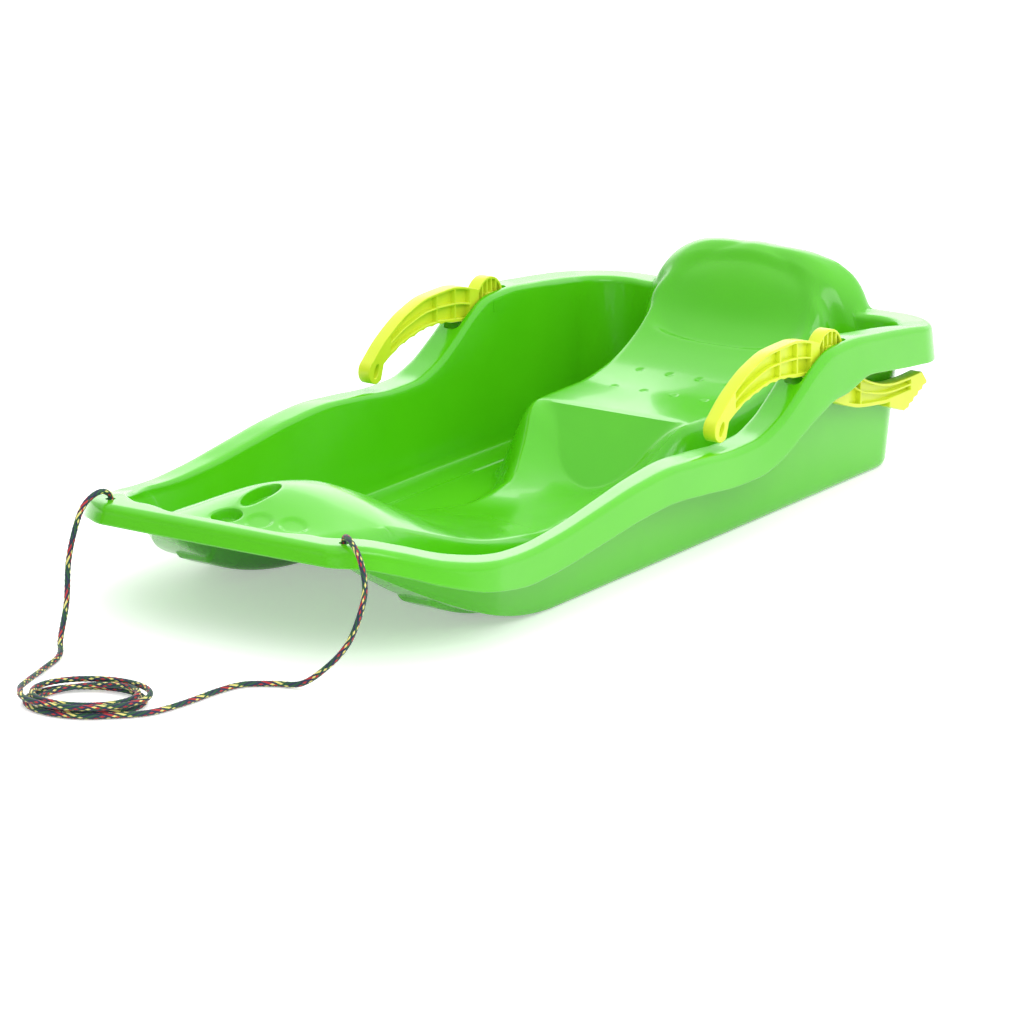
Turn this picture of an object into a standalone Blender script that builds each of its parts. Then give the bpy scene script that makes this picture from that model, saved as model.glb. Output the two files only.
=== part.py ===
"""A child's plastic sled: a moulded tub with two brake levers and a pull rope.

Metres, +Z up. The front of the sled points to -Y and the origin is on the floor,
under the middle of the sled. Every size below is a real size.
"""
import math

import bmesh
import bpy
import numpy as np
from mathutils import Vector

# Overall sizes
LENGTH = 0.870
WIDTH = 0.400
HEIGHT = 0.180
WALL = 0.003
WALL_LIMIT = 1.3
GAP = 0.0003
FRONT = -LENGTH / 2
REAR = LENGTH / 2

# Rim and skirt: the crest is the outer top edge of the rim
SKIRT_FLARE = 0.003
CREST_HALF = WIDTH / 2 - SKIRT_FLARE
CREST_FRONT = FRONT + SKIRT_FLARE
CREST_REAR = REAR - SKIRT_FLARE
FRONT_CORNER_WIDE = 0.086
FRONT_CORNER_LONG = 0.125
FRONT_CORNER_POWER = 1.35
REAR_CORNER = 0.057
CREST_RADIUS = 0.007
LIP_RADIUS = 0.006
RIM_WIDE = 0.033
BAR_WIDE = 0.020
BAR_HALF = 0.055
BAR_END = 0.105
RIM_MIDDLES = (0.32, 0.62)
LIP_TO_FILLET = 0.002

# Heights of the crest, by distance from the front edge and from the rear edge
RIM_FROM_FRONT = (
    (0.000, 0.1070), (0.014, 0.1066), (0.038, 0.1000), (0.075, 0.087), (0.115, 0.0795), (0.165, 0.0765),
    (0.215, 0.0795), (0.275, 0.087), (0.335, 0.0945), (0.385, 0.0975), (0.435, 0.0945),
)
RIM_FROM_REAR = (
    (0.375, 0.0900), (0.345, 0.0905), (0.310, 0.0990), (0.275, 0.1170), (0.245, 0.1350),
    (0.215, 0.1455), (0.180, 0.1465), (0.130, 0.1425), (0.080, 0.1370), (0.035, 0.1310), (0.000, 0.1285),
)

# Depth of the skirt below the crest, measured the same way
SKIRT_FROM_FRONT = ((0.000, 0.0165), (0.060, 0.0185), (0.120, 0.0240), (0.180, 0.0285), (0.435, 0.0310))
SKIRT_FROM_REAR = (
    (0.345, 0.0320), (0.280, 0.0360), (0.235, 0.0440), (0.205, 0.0450), (0.155, 0.0350), (0.100, 0.0360),
    (0.000, 0.0320),
)

# Tub: outline of the floor where the wall's fillet ends
FLOOR_HALF = WIDTH / 2 - 0.040
FLOOR_FRONT = FRONT + 0.046
FLOOR_REAR = REAR - 0.046
FLOOR_CORNER_WIDE = 0.085
FLOOR_CORNER_LONG = 0.130
FLOOR_CORNER_REAR = 0.036
FLOOR_FILLET = 0.006
FILLET_IN = 0.35
FILLET_UP = 0.55
SOLE_CLEAR = 0.0012
SWEEP_START = FRONT + 0.262
SWEEP_RADIUS = 0.280
RUNNER_OUTER = FLOOR_HALF - 0.030
RUNNER_STEP = 0.004
RUNNER_EDGE = 0.003
RUNNER_FRONT = FRONT + 0.127

# Raised middle of the tub, by distance from the front edge:
# distance, height on the centre line, height at the edge, half width of top, half width of foot, roundness
MIDDLE_FROM_FRONT = (
    (0.030, 0.1020, 0.0990, 0.066, 0.085, 2.0),
    (0.050, 0.1090, 0.0980, 0.070, 0.090, 2.0),
    (0.075, 0.1165, 0.0960, 0.074, 0.096, 2.0),
    (0.100, 0.1190, 0.0920, 0.077, 0.100, 2.0),
    (0.140, 0.1130, 0.0860, 0.079, 0.102, 2.0),
    (0.180, 0.0985, 0.0730, 0.079, 0.101, 2.0),
    (0.220, 0.0790, 0.0590, 0.078, 0.099, 2.0),
    (0.260, 0.0590, 0.0460, 0.076, 0.096, 2.0),
    (0.300, 0.0430, 0.0360, 0.073, 0.093, 2.0),
    (0.350, 0.0290, 0.0270, 0.067, 0.089, 2.0),
    (0.400, 0.0190, 0.0190, 0.058, 0.084, 2.0),
    (0.450, 0.0135, 0.0150, 0.048, 0.080, 2.0),
)
MIDDLE_FROM_REAR = (
    (0.360, 0.0110, 0.0200, 0.050, 0.086, 2.0),
    (0.330, 0.0105, 0.0330, 0.060, 0.096, 2.0),
    (0.312, 0.0120, 0.0460, 0.066, 0.109, 2.0),
    (0.300, 0.0330, 0.0570, 0.071, 0.115, 2.0),
    (0.290, 0.0600, 0.0665, 0.075, 0.120, 2.0),
    (0.278, 0.0715, 0.0720, 0.078, 0.123, 2.0),
    (0.262, 0.0720, 0.0720, 0.080, 0.124, 2.0),
    (0.200, 0.0725, 0.0720, 0.083, 0.123, 2.0),
    (0.152, 0.0785, 0.0780, 0.084, 0.119, 2.0),
    (0.120, 0.0890, 0.0890, 0.084, 0.113, 2.2),
    (0.092, 0.1040, 0.1050, 0.083, 0.109, 2.5),
    (0.074, 0.1210, 0.1220, 0.080, 0.106, 2.8),
    (0.064, 0.1390, 0.1370, 0.074, 0.104, 3.0),
    (0.054, HEIGHT - 0.0220, HEIGHT - 0.0265, 0.066, 0.105, 2.9),
    (0.042, HEIGHT - 0.0065, HEIGHT - 0.0120, 0.042, 0.118, 3.0),
    (0.030, HEIGHT, HEIGHT - 0.0010, 0.014, 0.127, 3.0),
    (0.018, HEIGHT - 0.0003, HEIGHT - 0.0015, 0.016, 0.131, 3.0),
    (0.010, HEIGHT - 0.0090, HEIGHT - 0.0135, 0.067, 0.121, 3.0),
    (0.004, HEIGHT - 0.0260, HEIGHT - 0.0290, 0.067, 0.121, 3.0),
    (0.000, 0.1280, 0.1270, 0.064, 0.119, 3.0),
)
EDGE_POWER = 1.7
BLEND = 0.004
OUTSIDE_MIDDLE = -0.2

# Mesh of the shell: counts, and rows drawn closer at the seat's front and towards the rear
N_FRONT = 8
N_CORNER = 6
N_SIDE = 32
REAR_X = (0.0, 0.0185, 0.0365, 0.053, 0.066, 0.085, 0.101, 0.113)
TOP_MARKS = (0.0, 0.28, 0.55, 0.8, 1.0)
FLANK_MARKS = (0.35, 0.65, 0.87)
WALL_STEPS = (0.34, 0.67, 1.0)
ROUND_STEPS = 2
PULL_ROWS = 4.0
SPREAD_SAMPLES = 400
SEAT_FRONT = REAR - 0.300
SEAT_FRONT_LONG = 0.022
SEAT_FRONT_EXTRA = 3.0
REAR_FROM = REAR - 0.195
REAR_TO = REAR - 0.085
REAR_EXTRA = 2.2

# Openings in the shell
PIVOT_Y = REAR - 0.210
PIVOT_BELOW_CREST = 0.0075
LEVER_X = WIDTH / 2 - 0.0192
LEVER_WIDE = 0.0125
SLOT_FRONT = PIVOT_Y - 0.057
SLOT_REAR = PIVOT_Y + 0.027
SLOT_SIDE_GAP = 0.0025
SLOT_CORNER = 0.006
HOLE_X = 0.1175
HOLE_Y = FRONT + 0.021
HOLE_RADIUS = 0.0042
HOLE_CUT = (0.085, 0.130)
SLOT_DEEP = 0.045
CUT_TOP = 0.200
ROUND_SIDES = 16

# Pivot pins and the bosses that hold them
PIN_RADIUS = 0.003
PIN_INNER = LEVER_X - 0.0135
PIN_OUTER = LEVER_X + 0.0130
BOSS_HALF = 0.0084
BOSS_DEEP = 0.008
BOSS_BELOW_CREST = 0.0045
BOSS_CLEAR = 0.0008
BOSS_INNER = (LEVER_X - 0.0167, LEVER_X - LEVER_WIDE / 2 - BOSS_CLEAR)
BOSS_OUTER = (LEVER_X + LEVER_WIDE / 2 + BOSS_CLEAR, CREST_HALF - 0.0012)

# Brake lever: forward distance from the pivot and height above it
HUB_RADIUS = 0.022
HANDLE_TOP = ((0.028, 0.0170), (0.045, 0.0215), (0.061, 0.0235), (0.095, 0.0225), (0.129, 0.0145),
              (0.160, -0.0005), (0.183, -0.0165))
HANDLE_BOTTOM = ((0.030, -0.0140), (0.049, -0.0105), (0.062, -0.0090), (0.084, -0.0065), (0.099, -0.0065),
                 (0.120, -0.0095), (0.140, -0.0140), (0.1575, -0.0200), (0.172, -0.0275))
HANDLE_TOP_START = 0.030
HANDLE_TOP_END = 0.173
HANDLE_BOTTOM_START = 0.034
HANDLE_BOTTOM_END = 0.168
TIP_CENTRE = (0.1795, -0.0295)
TIP_RADIUS = 0.0115
TIP_HOLE = 0.0055
SCALLOP_START = 0.062
SCALLOP_PITCH = 0.0145
SCALLOPS = 6
SCALLOP_DEPTH = 0.0011
# The tail: backward distance from the pivot and height above it
TAIL_TOP = ((0.040, -0.0180), (0.0595, -0.0340), (0.079, -0.0425), (0.098, -0.0480), (0.120, -0.0510),
            (0.145, -0.0515), (0.163, -0.0510))
TAIL_BOTTOM = ((0.006, -0.0440), (0.028, -0.0530), (0.053, -0.0604), (0.081, -0.0646), (0.105, -0.0670),
               (0.120, -0.0670))
TAIL_TOP_START = 0.042
TAIL_TOP_END = 0.160
TAIL_BOTTOM_START = 0.006
TAIL_BOTTOM_END = 0.108
THROAT = ((0.020, -0.0210), (0.008, -0.0330))
FOOT_FRONT = (-0.107, -0.0715)
BLADE_BOTTOM = (-0.134, -0.0810)
BLADE_TOP = (-0.174, -0.0610)
BLADE_CORNER = (-0.165, -0.0510)
TEETH = 5
TOOTH_DEPTH = 0.0022
HEEL_BACK = 0.036
HEEL_CLEAR = 0.0014
FLANGE = 0.0025
WEB = 0.0025
RIB = 0.002
HANDLE_RIBS = (0.031, 0.055, 0.084, 0.158)
TAIL_RIBS = (0.034, 0.056, 0.146)
POCKET_END = 0.0018
POCKET_STEP = 0.009
POCKET_LEAST = 3
TIP_FROM = math.radians(60)
TIP_TURN = math.radians(190)
TIP_STEPS = 6
TIP_SIDES = 12
HUB_TO = math.radians(38)
HUB_STEPS = 12
BAND_POINTS = 12
UNDER_POINTS = 36
TAIL_POINTS = 10
TOOTH_ROOT = 0.15
TOOTH_CROWN = 0.85
HEEL_EDGE = 0.002
HEEL_FALL = 0.010
HEEL_CHAMFER = 0.003

# Pull rope
ROPE_RADIUS = 0.0025
FLOOR_LIFT = 0.0005
COIL_X = 0.001
COIL_Y = FRONT - 0.1635
COIL_LONG = 0.0545
COIL_SHORT = 0.0415
COIL_LONG_PITCH = 0.0098
COIL_SHORT_PITCH = 0.0068
COIL_LAYER = 0.0067
COIL_SLANT = math.radians(26)
COIL_START_TURN = 0.50
COIL_TURNS = 3.33
COIL_FALL_AT = 1.50
COIL_POINTS = 24
COIL_END_STEP = 0.0060
KNOT_RADIUS = 0.0072
KNOT_TALL = 0.0130
KNOT_NECK = 0.0054
KNOT_GAP = 0.0012
ROPE_OVER = 0.0035
KNOT_ROWS = 6
KNOT_SIDES = 12
COIL_FALL_TURN = 0.5
COIL_CHECK = 3
COIL_NEAR = 6 * ROPE_RADIUS
N_TUBE_FINE = 2
N_TUBE_COARSE = 1
ROUTE_MINUS_X = (
    (-0.1195, FRONT + 0.0100, 0.1152), (-0.1230, FRONT - 0.0050, 0.1085), (-0.1262, FRONT - 0.0130, 0.0930),
    (-0.1300, FRONT - 0.0200, 0.0620), (-0.1210, FRONT - 0.0350, 0.0320), (-0.1090, FRONT - 0.0590, 0.0090),
    (-0.0930, FRONT - 0.0810, ROPE_RADIUS + FLOOR_LIFT), (-0.0800, FRONT - 0.1180, 0.0034),
    (-0.0640, FRONT - 0.1565, 0.0072),
)
ROUTE_PLUS_X = (
    (0.0525, FRONT - 0.1710, ROPE_RADIUS + FLOOR_LIFT), (0.0605, FRONT - 0.1590, ROPE_RADIUS + FLOOR_LIFT),
    (0.0655, FRONT - 0.1390, ROPE_RADIUS + FLOOR_LIFT), (0.0685, FRONT - 0.1130, ROPE_RADIUS + FLOOR_LIFT),
    (0.0705, FRONT - 0.0850, ROPE_RADIUS + FLOOR_LIFT),
    (0.0770, FRONT - 0.0610, ROPE_RADIUS + FLOOR_LIFT), (0.0960, FRONT - 0.0460, ROPE_RADIUS + FLOOR_LIFT),
    (0.1190, FRONT - 0.0400, 0.0055),
    (0.1400, FRONT - 0.0350, 0.0215), (0.1550, FRONT - 0.0290, 0.0400), (0.1610, FRONT - 0.0210, 0.0610),
    (0.1615, FRONT - 0.0125, 0.0830), (0.1510, FRONT - 0.0040, 0.1040), (0.1310, FRONT + 0.0090, 0.1150),
)
ROUTE_SPACING = 0.0125
ROUTE_STEPS = 12

# Nose recesses: middle x, middle y, half width, half length, depth
RECESSES = (
    (-0.0065, FRONT + 0.0785, 0.0115, 0.0220, 0.010),
    (-0.0130, FRONT + 0.0400, 0.0135, 0.0095, 0.008),
    (0.0190, FRONT + 0.0410, 0.0110, 0.0095, 0.003),
    (0.0465, FRONT + 0.0500, 0.0110, 0.0100, 0.003),
)
RECESS_SIDES = 20
RECESS_DRAFT = 0.0015
RECESS_WALL = 0.002
RECESS_OVER = 0.012


def smooth_curve(stations, value):
    """Value of a monotone cubic curve through hand-chosen stations."""
    xs = np.array([s[0] for s in stations])
    ys = np.array([s[1] for s in stations])
    order = np.argsort(xs)
    xs, ys = xs[order], ys[order]
    step = np.diff(xs)
    slope = np.diff(ys) / step
    tangent = np.zeros(len(xs))
    tangent[0], tangent[-1] = slope[0], slope[-1]
    same = slope[:-1] * slope[1:] > 0
    weight_a = 2 * step[1:] + step[:-1]
    weight_b = step[1:] + 2 * step[:-1]
    safe_a = np.where(same, slope[:-1], 1.0)
    safe_b = np.where(same, slope[1:], 1.0)
    inner = (weight_a + weight_b) / (weight_a / safe_a + weight_b / safe_b)
    tangent[1:-1] = np.where(same, inner, 0.0)
    value = np.clip(value, xs[0], xs[-1])
    i = np.clip(np.searchsorted(xs, value) - 1, 0, len(step) - 1)
    t = (value - xs[i]) / step[i]
    h00 = (1 + 2 * t) * (1 - t) ** 2
    h10 = t * (1 - t) ** 2
    h01 = t * t * (3 - 2 * t)
    h11 = t * t * (t - 1)
    return h00 * ys[i] + h10 * step[i] * tangent[i] + h01 * ys[i + 1] + h11 * step[i] * tangent[i + 1]


def along(front_rows, rear_rows, column, y):
    """One column of the front and rear tables as a curve over the length."""
    rows = [(FRONT + r[0], r[column]) for r in front_rows]
    rows += [(REAR - r[0], r[column]) for r in rear_rows]
    return smooth_curve(rows, y)


def smooth_step(low, high, value):
    t = np.clip((value - low) / (high - low), 0.0, 1.0)
    return t * t * (3 - 2 * t)


def smooth_max(a, b, radius):
    h = np.maximum(radius - np.abs(a - b), 0.0) / radius
    return np.maximum(a, b) + h * h * radius / 4


def rim_height(y):
    return along(RIM_FROM_FRONT, RIM_FROM_REAR, 1, y)


def skirt_depth(y):
    return along(SKIRT_FROM_FRONT, SKIRT_FROM_REAR, 1, y)


def floor_height(x, y):
    """Upper face of the tub's floor without the raised middle."""
    rise = np.maximum(SWEEP_START - y, 0.0)
    base = WALL + SOLE_CLEAR + rise * rise / (2 * SWEEP_RADIUS)
    inside = 1 - smooth_step(RUNNER_OUTER - RUNNER_EDGE / 2, RUNNER_OUTER + RUNNER_EDGE / 2, np.abs(x))
    behind = smooth_step(RUNNER_FRONT - RUNNER_EDGE, RUNNER_FRONT + RUNNER_EDGE, y)
    step = RUNNER_STEP + (SOLE_CLEAR - RUNNER_STEP) * smooth_step(RUNNER_FRONT, SWEEP_START, y)
    return base - step * inside * behind


def middle_height(x, y):
    """Raised middle: nose dome, ridge, seat, backrest and headrest."""
    centre, edge, top, foot, power = (
        along(MIDDLE_FROM_FRONT, MIDDLE_FROM_REAR, column, y) for column in range(1, 6)
    )
    base = np.minimum(floor_height(x, y), edge) - BLEND
    across = np.clip(np.abs(x) / top, 0.0, 1.0)
    crown = centre + (edge - centre) * across ** EDGE_POWER
    fall = np.clip((np.abs(x) - top) / (foot - top), 0.0, 1.0)
    soft = 1 - smooth_step(0.0, 1.0, fall)
    round_off = (1 - fall ** power) ** (1 / power)
    share = np.clip(power - 2.0, 0.0, 1.0)
    raised = base + (crown - base) * (soft * (1 - share) + round_off * share)
    return np.where(np.abs(x) < foot, raised, OUTSIDE_MIDDLE)


def tub_height(x, y):
    return smooth_max(floor_height(x, y), middle_height(x, y), BLEND)


def outline(half, front, rear, wide, long, corner, side_fractions):
    """Points of a rounded outline, right half, from the front middle to the rear middle."""
    points = [(k / N_FRONT * (half - wide), front) for k in range(N_FRONT + 1)]
    for k in range(1, N_CORNER + 1):
        a = math.pi / 2 * k / N_CORNER
        out = math.sin(a) ** FRONT_CORNER_POWER
        back = 1 - max(math.cos(a), 0.0) ** FRONT_CORNER_POWER
        points.append((half - wide + wide * out, front + long * back))
    low, high = front + long, rear - corner
    points += [(half, low + f * (high - low)) for f in side_fractions[1:]]
    for k in range(1, N_CORNER + 1):
        a = math.pi / 2 * k / N_CORNER
        points.append((half - corner + corner * math.cos(a), rear - corner + corner * math.sin(a)))
    points += [(x, rear) for x in reversed(REAR_X)]
    return points


def closed(points):
    """The right half mirrored into a closed loop that starts at the front middle."""
    return points + [(-x, y) for x, y in reversed(points[1:-1])]


def side_spread():
    """Rows along the side, closer where the seat front and the headrest rise."""
    fine = np.linspace(0.0, 1.0, SPREAD_SAMPLES)
    y = FLOOR_FRONT + FLOOR_CORNER_LONG + fine * (
        FLOOR_REAR - FLOOR_CORNER_REAR - FLOOR_FRONT - FLOOR_CORNER_LONG
    )
    density = 1.0 + SEAT_FRONT_EXTRA * np.exp(-(((y - SEAT_FRONT) / SEAT_FRONT_LONG) ** 2))
    density = density + REAR_EXTRA * smooth_step(REAR_FROM, REAR_TO, y)
    total = np.concatenate([[0.0], np.cumsum((density[1:] + density[:-1]) / 2)])
    return np.interp(np.linspace(0.0, total[-1], N_SIDE + 1), total, fine)


def shell_sheet():
    """Upper face of the moulding as rings (skirt, rim, wall) and a lattice (floor)."""
    columns = N_FRONT + N_CORNER // 2
    side = side_spread()
    crest = np.array(closed(outline(
        CREST_HALF, CREST_FRONT, CREST_REAR, FRONT_CORNER_WIDE, FRONT_CORNER_LONG, REAR_CORNER, side)))
    floor = np.array(closed(outline(
        FLOOR_HALF, FLOOR_FRONT, FLOOR_REAR, FLOOR_CORNER_WIDE, FLOOR_CORNER_LONG, FLOOR_CORNER_REAR, side)))
    count = len(crest)
    inward = floor - crest
    reach = np.linalg.norm(inward, axis=1)[:, None]
    inward = inward / reach
    top = rim_height(crest[:, 1])
    depth = skirt_depth(crest[:, 1])
    lip = np.where(crest[:, 1] < 0, BAR_WIDE + (RIM_WIDE - BAR_WIDE) * smooth_step(
        BAR_HALF, BAR_END, np.abs(crest[:, 0])), RIM_WIDE)[:, None]
    rings = []
    rings.append(np.column_stack([crest - inward * SKIRT_FLARE, top - depth]))
    rings.append(np.column_stack([crest - inward * SKIRT_FLARE * 0.5, top - (depth + CREST_RADIUS) / 2]))
    for k in range(ROUND_STEPS + 1):
        a = math.pi / 2 * k / ROUND_STEPS
        rings.append(np.column_stack([
            crest + inward * CREST_RADIUS * (1 - math.cos(a)), top - CREST_RADIUS * (1 - math.sin(a))]))
    for f in RIM_MIDDLES:
        rings.append(np.column_stack([crest + inward * lip * f, top]))
    for k in range(ROUND_STEPS + 1):
        a = math.pi / 2 * k / ROUND_STEPS
        rings.append(np.column_stack([
            crest + inward * (lip - LIP_RADIUS * (1 - math.sin(a))), top - LIP_RADIUS * (1 - math.cos(a))]))
    foot = floor - inward * (FLOOR_FILLET * FILLET_IN)
    lip_xy = crest + inward * lip
    lip_z = top - LIP_RADIUS
    foot_z = floor_height(floor[:, 0], floor[:, 1]) + FLOOR_FILLET * FILLET_UP
    foot_z = np.minimum(foot_z, lip_z - LIP_TO_FILLET)
    for f in WALL_STEPS:
        rings.append(np.column_stack([lip_xy + (foot - lip_xy) * f, lip_z + (foot_z - lip_z) * f]))
    for ring in rings[3:]:
        ring[:, 2] = smooth_max(ring[:, 2], middle_height(ring[:, 0], ring[:, 1]), BLEND)
    grid = lattice(floor, columns)
    return rings, grid, count


def lattice(floor, columns):
    """Floor points between the four sides of the outline, drawn to the lines of the raised middle."""
    half = N_FRONT + N_CORNER + N_SIDE + N_CORNER + N_FRONT
    count = 2 * half
    split = N_FRONT + N_CORNER // 2
    rows = N_CORNER // 2 + N_SIDE + N_CORNER // 2
    front = [floor[(k - split) % count] for k in range(2 * columns + 1)]
    rear = [floor[half + split - k] for k in range(2 * columns + 1)]
    right = [floor[split + k] for k in range(rows + 1)]
    left = [floor[(count - split - k) % count] for k in range(rows + 1)]
    grid = np.zeros((rows + 1, 2 * columns + 1, 3))
    for j in range(rows + 1):
        v = j / rows
        for i in range(2 * columns + 1):
            u = i / (2 * columns)
            p = (1 - v) * front[i] + v * rear[i] + (1 - u) * left[j] + u * right[j]
            p = p - (1 - v) * ((1 - u) * front[0] + u * front[-1])
            grid[j, i, :2] = p - v * ((1 - u) * rear[0] + u * rear[-1])
    for j in range(rows + 1):
        edge = grid[j, -1, 0]
        y = grid[j, :, 1]
        top = along(MIDDLE_FROM_FRONT, MIDDLE_FROM_REAR, 3, y)
        foot = along(MIDDLE_FROM_FRONT, MIDDLE_FROM_REAR, 4, y)
        marks = [top * f for f in TOP_MARKS]
        marks += [top + (foot - top) * f for f in FLANK_MARKS]
        marks += [np.minimum(foot, RUNNER_OUTER - RUNNER_EDGE * 2), RUNNER_OUTER - RUNNER_EDGE / 2 + 0 * top,
                  RUNNER_OUTER + RUNNER_EDGE / 2 + 0 * top, edge + 0 * top]
        pull = smooth_step(0.0, PULL_ROWS, float(min(j, rows - j)))
        pull = pull * (1.0 if edge > RUNNER_OUTER + RUNNER_EDGE * 2 else 0.0)
        for i in range(2 * columns + 1):
            k = abs(i - columns)
            want = marks[k][i] * (1 if i > columns else -1)
            if k < columns:
                grid[j, i, 0] += (want - grid[j, i, 0]) * pull
    grid[:, :, 2] = tub_height(grid[:, :, 0], grid[:, :, 1])
    return grid


def shell_mesh():
    """Sheet of the moulding as one mesh, facing up and out."""
    rings, grid, count = shell_sheet()
    mesh = bmesh.new()
    ring_verts = [[mesh.verts.new(Vector(p)) for p in ring] for ring in rings]
    rows, cols = grid.shape[0] - 1, grid.shape[1] - 1
    lattice_verts = [[mesh.verts.new(Vector(grid[j, i])) for i in range(cols + 1)] for j in range(rows + 1)]
    split = N_FRONT + N_CORNER // 2
    half = count // 2
    border = [None] * count
    for i in range(cols + 1):
        border[(i - split) % count] = lattice_verts[0][i]
        border[half + split - i] = lattice_verts[rows][i]
    for j in range(rows + 1):
        border[split + j] = lattice_verts[j][cols]
        border[(count - split - j) % count] = lattice_verts[j][0]
    ring_verts.append(border)
    for a, b in zip(ring_verts[:-1], ring_verts[1:]):
        for k in range(count):
            n = (k + 1) % count
            mesh.faces.new((a[k], a[n], b[n], b[k]))
    for j in range(rows):
        for i in range(cols):
            mesh.faces.new((lattice_verts[j][i], lattice_verts[j][i + 1],
                            lattice_verts[j + 1][i + 1], lattice_verts[j + 1][i]))
    thicken(mesh)
    return mesh


def thicken(mesh):
    """Turn the sheet into a closed wall; its lower face stays on or above the ground."""
    mesh.normal_update()
    upper = list(mesh.verts)
    sheet = list(mesh.faces)
    edges = [edge for edge in mesh.edges if edge.is_boundary]
    lower = {}
    for vertex in upper:
        reach = WALL * min(vertex.calc_shell_factor(), WALL_LIMIT)
        place = vertex.co - vertex.normal * reach
        place.z = max(place.z, 0.0)
        lower[vertex] = mesh.verts.new(place)
    for face in sheet:
        mesh.faces.new([lower[vertex] for vertex in reversed(face.verts)])
    for edge in edges:
        a, b = edge.verts
        mesh.faces.new((a, b, lower[b], lower[a]))
    bmesh.ops.recalc_face_normals(mesh, faces=mesh.faces)


def clear_scene():
    for item in list(bpy.data.objects):
        bpy.data.objects.remove(item, do_unlink=True)


def material(name, colour, roughness, metallic=0.0):
    made = bpy.data.materials.new(name)
    made.use_nodes = True
    shader = made.node_tree.nodes["Principled BSDF"]
    shader.inputs["Base Color"].default_value = (*colour, 1.0)
    shader.inputs["Roughness"].default_value = roughness
    shader.inputs["Metallic"].default_value = metallic
    return made


def add_object(name, mesh, look):
    data = bpy.data.meshes.new(name)
    mesh.to_mesh(data)
    mesh.free()
    item = bpy.data.objects.new(name, data)
    bpy.context.scene.collection.objects.link(item)
    data.materials.append(look)
    return item


def add_cutter(name, mesh):
    data = bpy.data.meshes.new(name)
    mesh.to_mesh(data)
    mesh.free()
    item = bpy.data.objects.new(name, data)
    bpy.context.scene.collection.objects.link(item)
    item.hide_render = True
    item.display_type = "WIRE"
    return item


def boolean(item, cutter, operation):
    step = item.modifiers.new(operation.lower(), "BOOLEAN")
    step.operation = operation
    step.solver = "EXACT"
    step.object = cutter


def prism(points, low, high, axis):
    """Closed prism over a polygon; axis is the index of its long direction."""
    mesh = bmesh.new()
    lower = [mesh.verts.new((*p[:axis], low, *p[axis:])) for p in points]
    upper = [mesh.verts.new((*p[:axis], high, *p[axis:])) for p in points]
    mesh.faces.new(lower)
    mesh.faces.new(list(reversed(upper)))
    for k in range(len(points)):
        n = (k + 1) % len(points)
        mesh.faces.new((lower[k], upper[k], upper[n], lower[n]))
    bmesh.ops.recalc_face_normals(mesh, faces=mesh.faces)
    return mesh


def rounded_box(low, high, corner, steps=3):
    """Corner-rounded rectangle as a list of points."""
    points = []
    centres = ((high[0] - corner, high[1] - corner, 0), (low[0] + corner, high[1] - corner, 1),
               (low[0] + corner, low[1] + corner, 2), (high[0] - corner, low[1] + corner, 3))
    for cx, cy, quarter in centres:
        for k in range(steps + 1):
            a = math.pi / 2 * (quarter + k / steps)
            points.append((cx + corner * math.cos(a), cy + corner * math.sin(a)))
    return points


def draped(recess, grow, low, high):
    """Oval block whose two ends follow the tub's upper face at set distances from it."""
    cx, cy, half_x, half_y, _ = recess
    mesh = bmesh.new()
    loops, middles = [], []
    surface = float(tub_height(np.array(cx), np.array(cy)))
    for offset, draft in ((low, RECESS_DRAFT), (high, 0.0)):
        loop = []
        for k in range(RECESS_SIDES):
            a = math.tau * k / RECESS_SIDES
            x = cx + (half_x + grow - draft) * math.cos(a)
            y = cy + (half_y + grow - draft) * math.sin(a)
            loop.append(mesh.verts.new((x, y, float(tub_height(np.array(x), np.array(y))) + offset)))
        loops.append(loop)
        middles.append(mesh.verts.new((cx, cy, surface + offset)))
    for k in range(RECESS_SIDES):
        n = (k + 1) % RECESS_SIDES
        mesh.faces.new((loops[0][k], loops[0][n], loops[1][n], loops[1][k]))
        mesh.faces.new((middles[0], loops[0][n], loops[0][k]))
        mesh.faces.new((middles[1], loops[1][k], loops[1][n]))
    bmesh.ops.recalc_face_normals(mesh, faces=mesh.faces)
    return mesh


def circle(cx, cy, radius, sides):
    return [(cx + radius * math.cos(math.tau * k / sides), cy + radius * math.sin(math.tau * k / sides))
            for k in range(sides)]


def join_meshes(parts):
    whole = bmesh.new()
    for part in parts:
        data = bpy.data.meshes.new("piece")
        part.to_mesh(data)
        part.free()
        whole.from_mesh(data)
        bpy.data.meshes.remove(data)
    return whole


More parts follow.
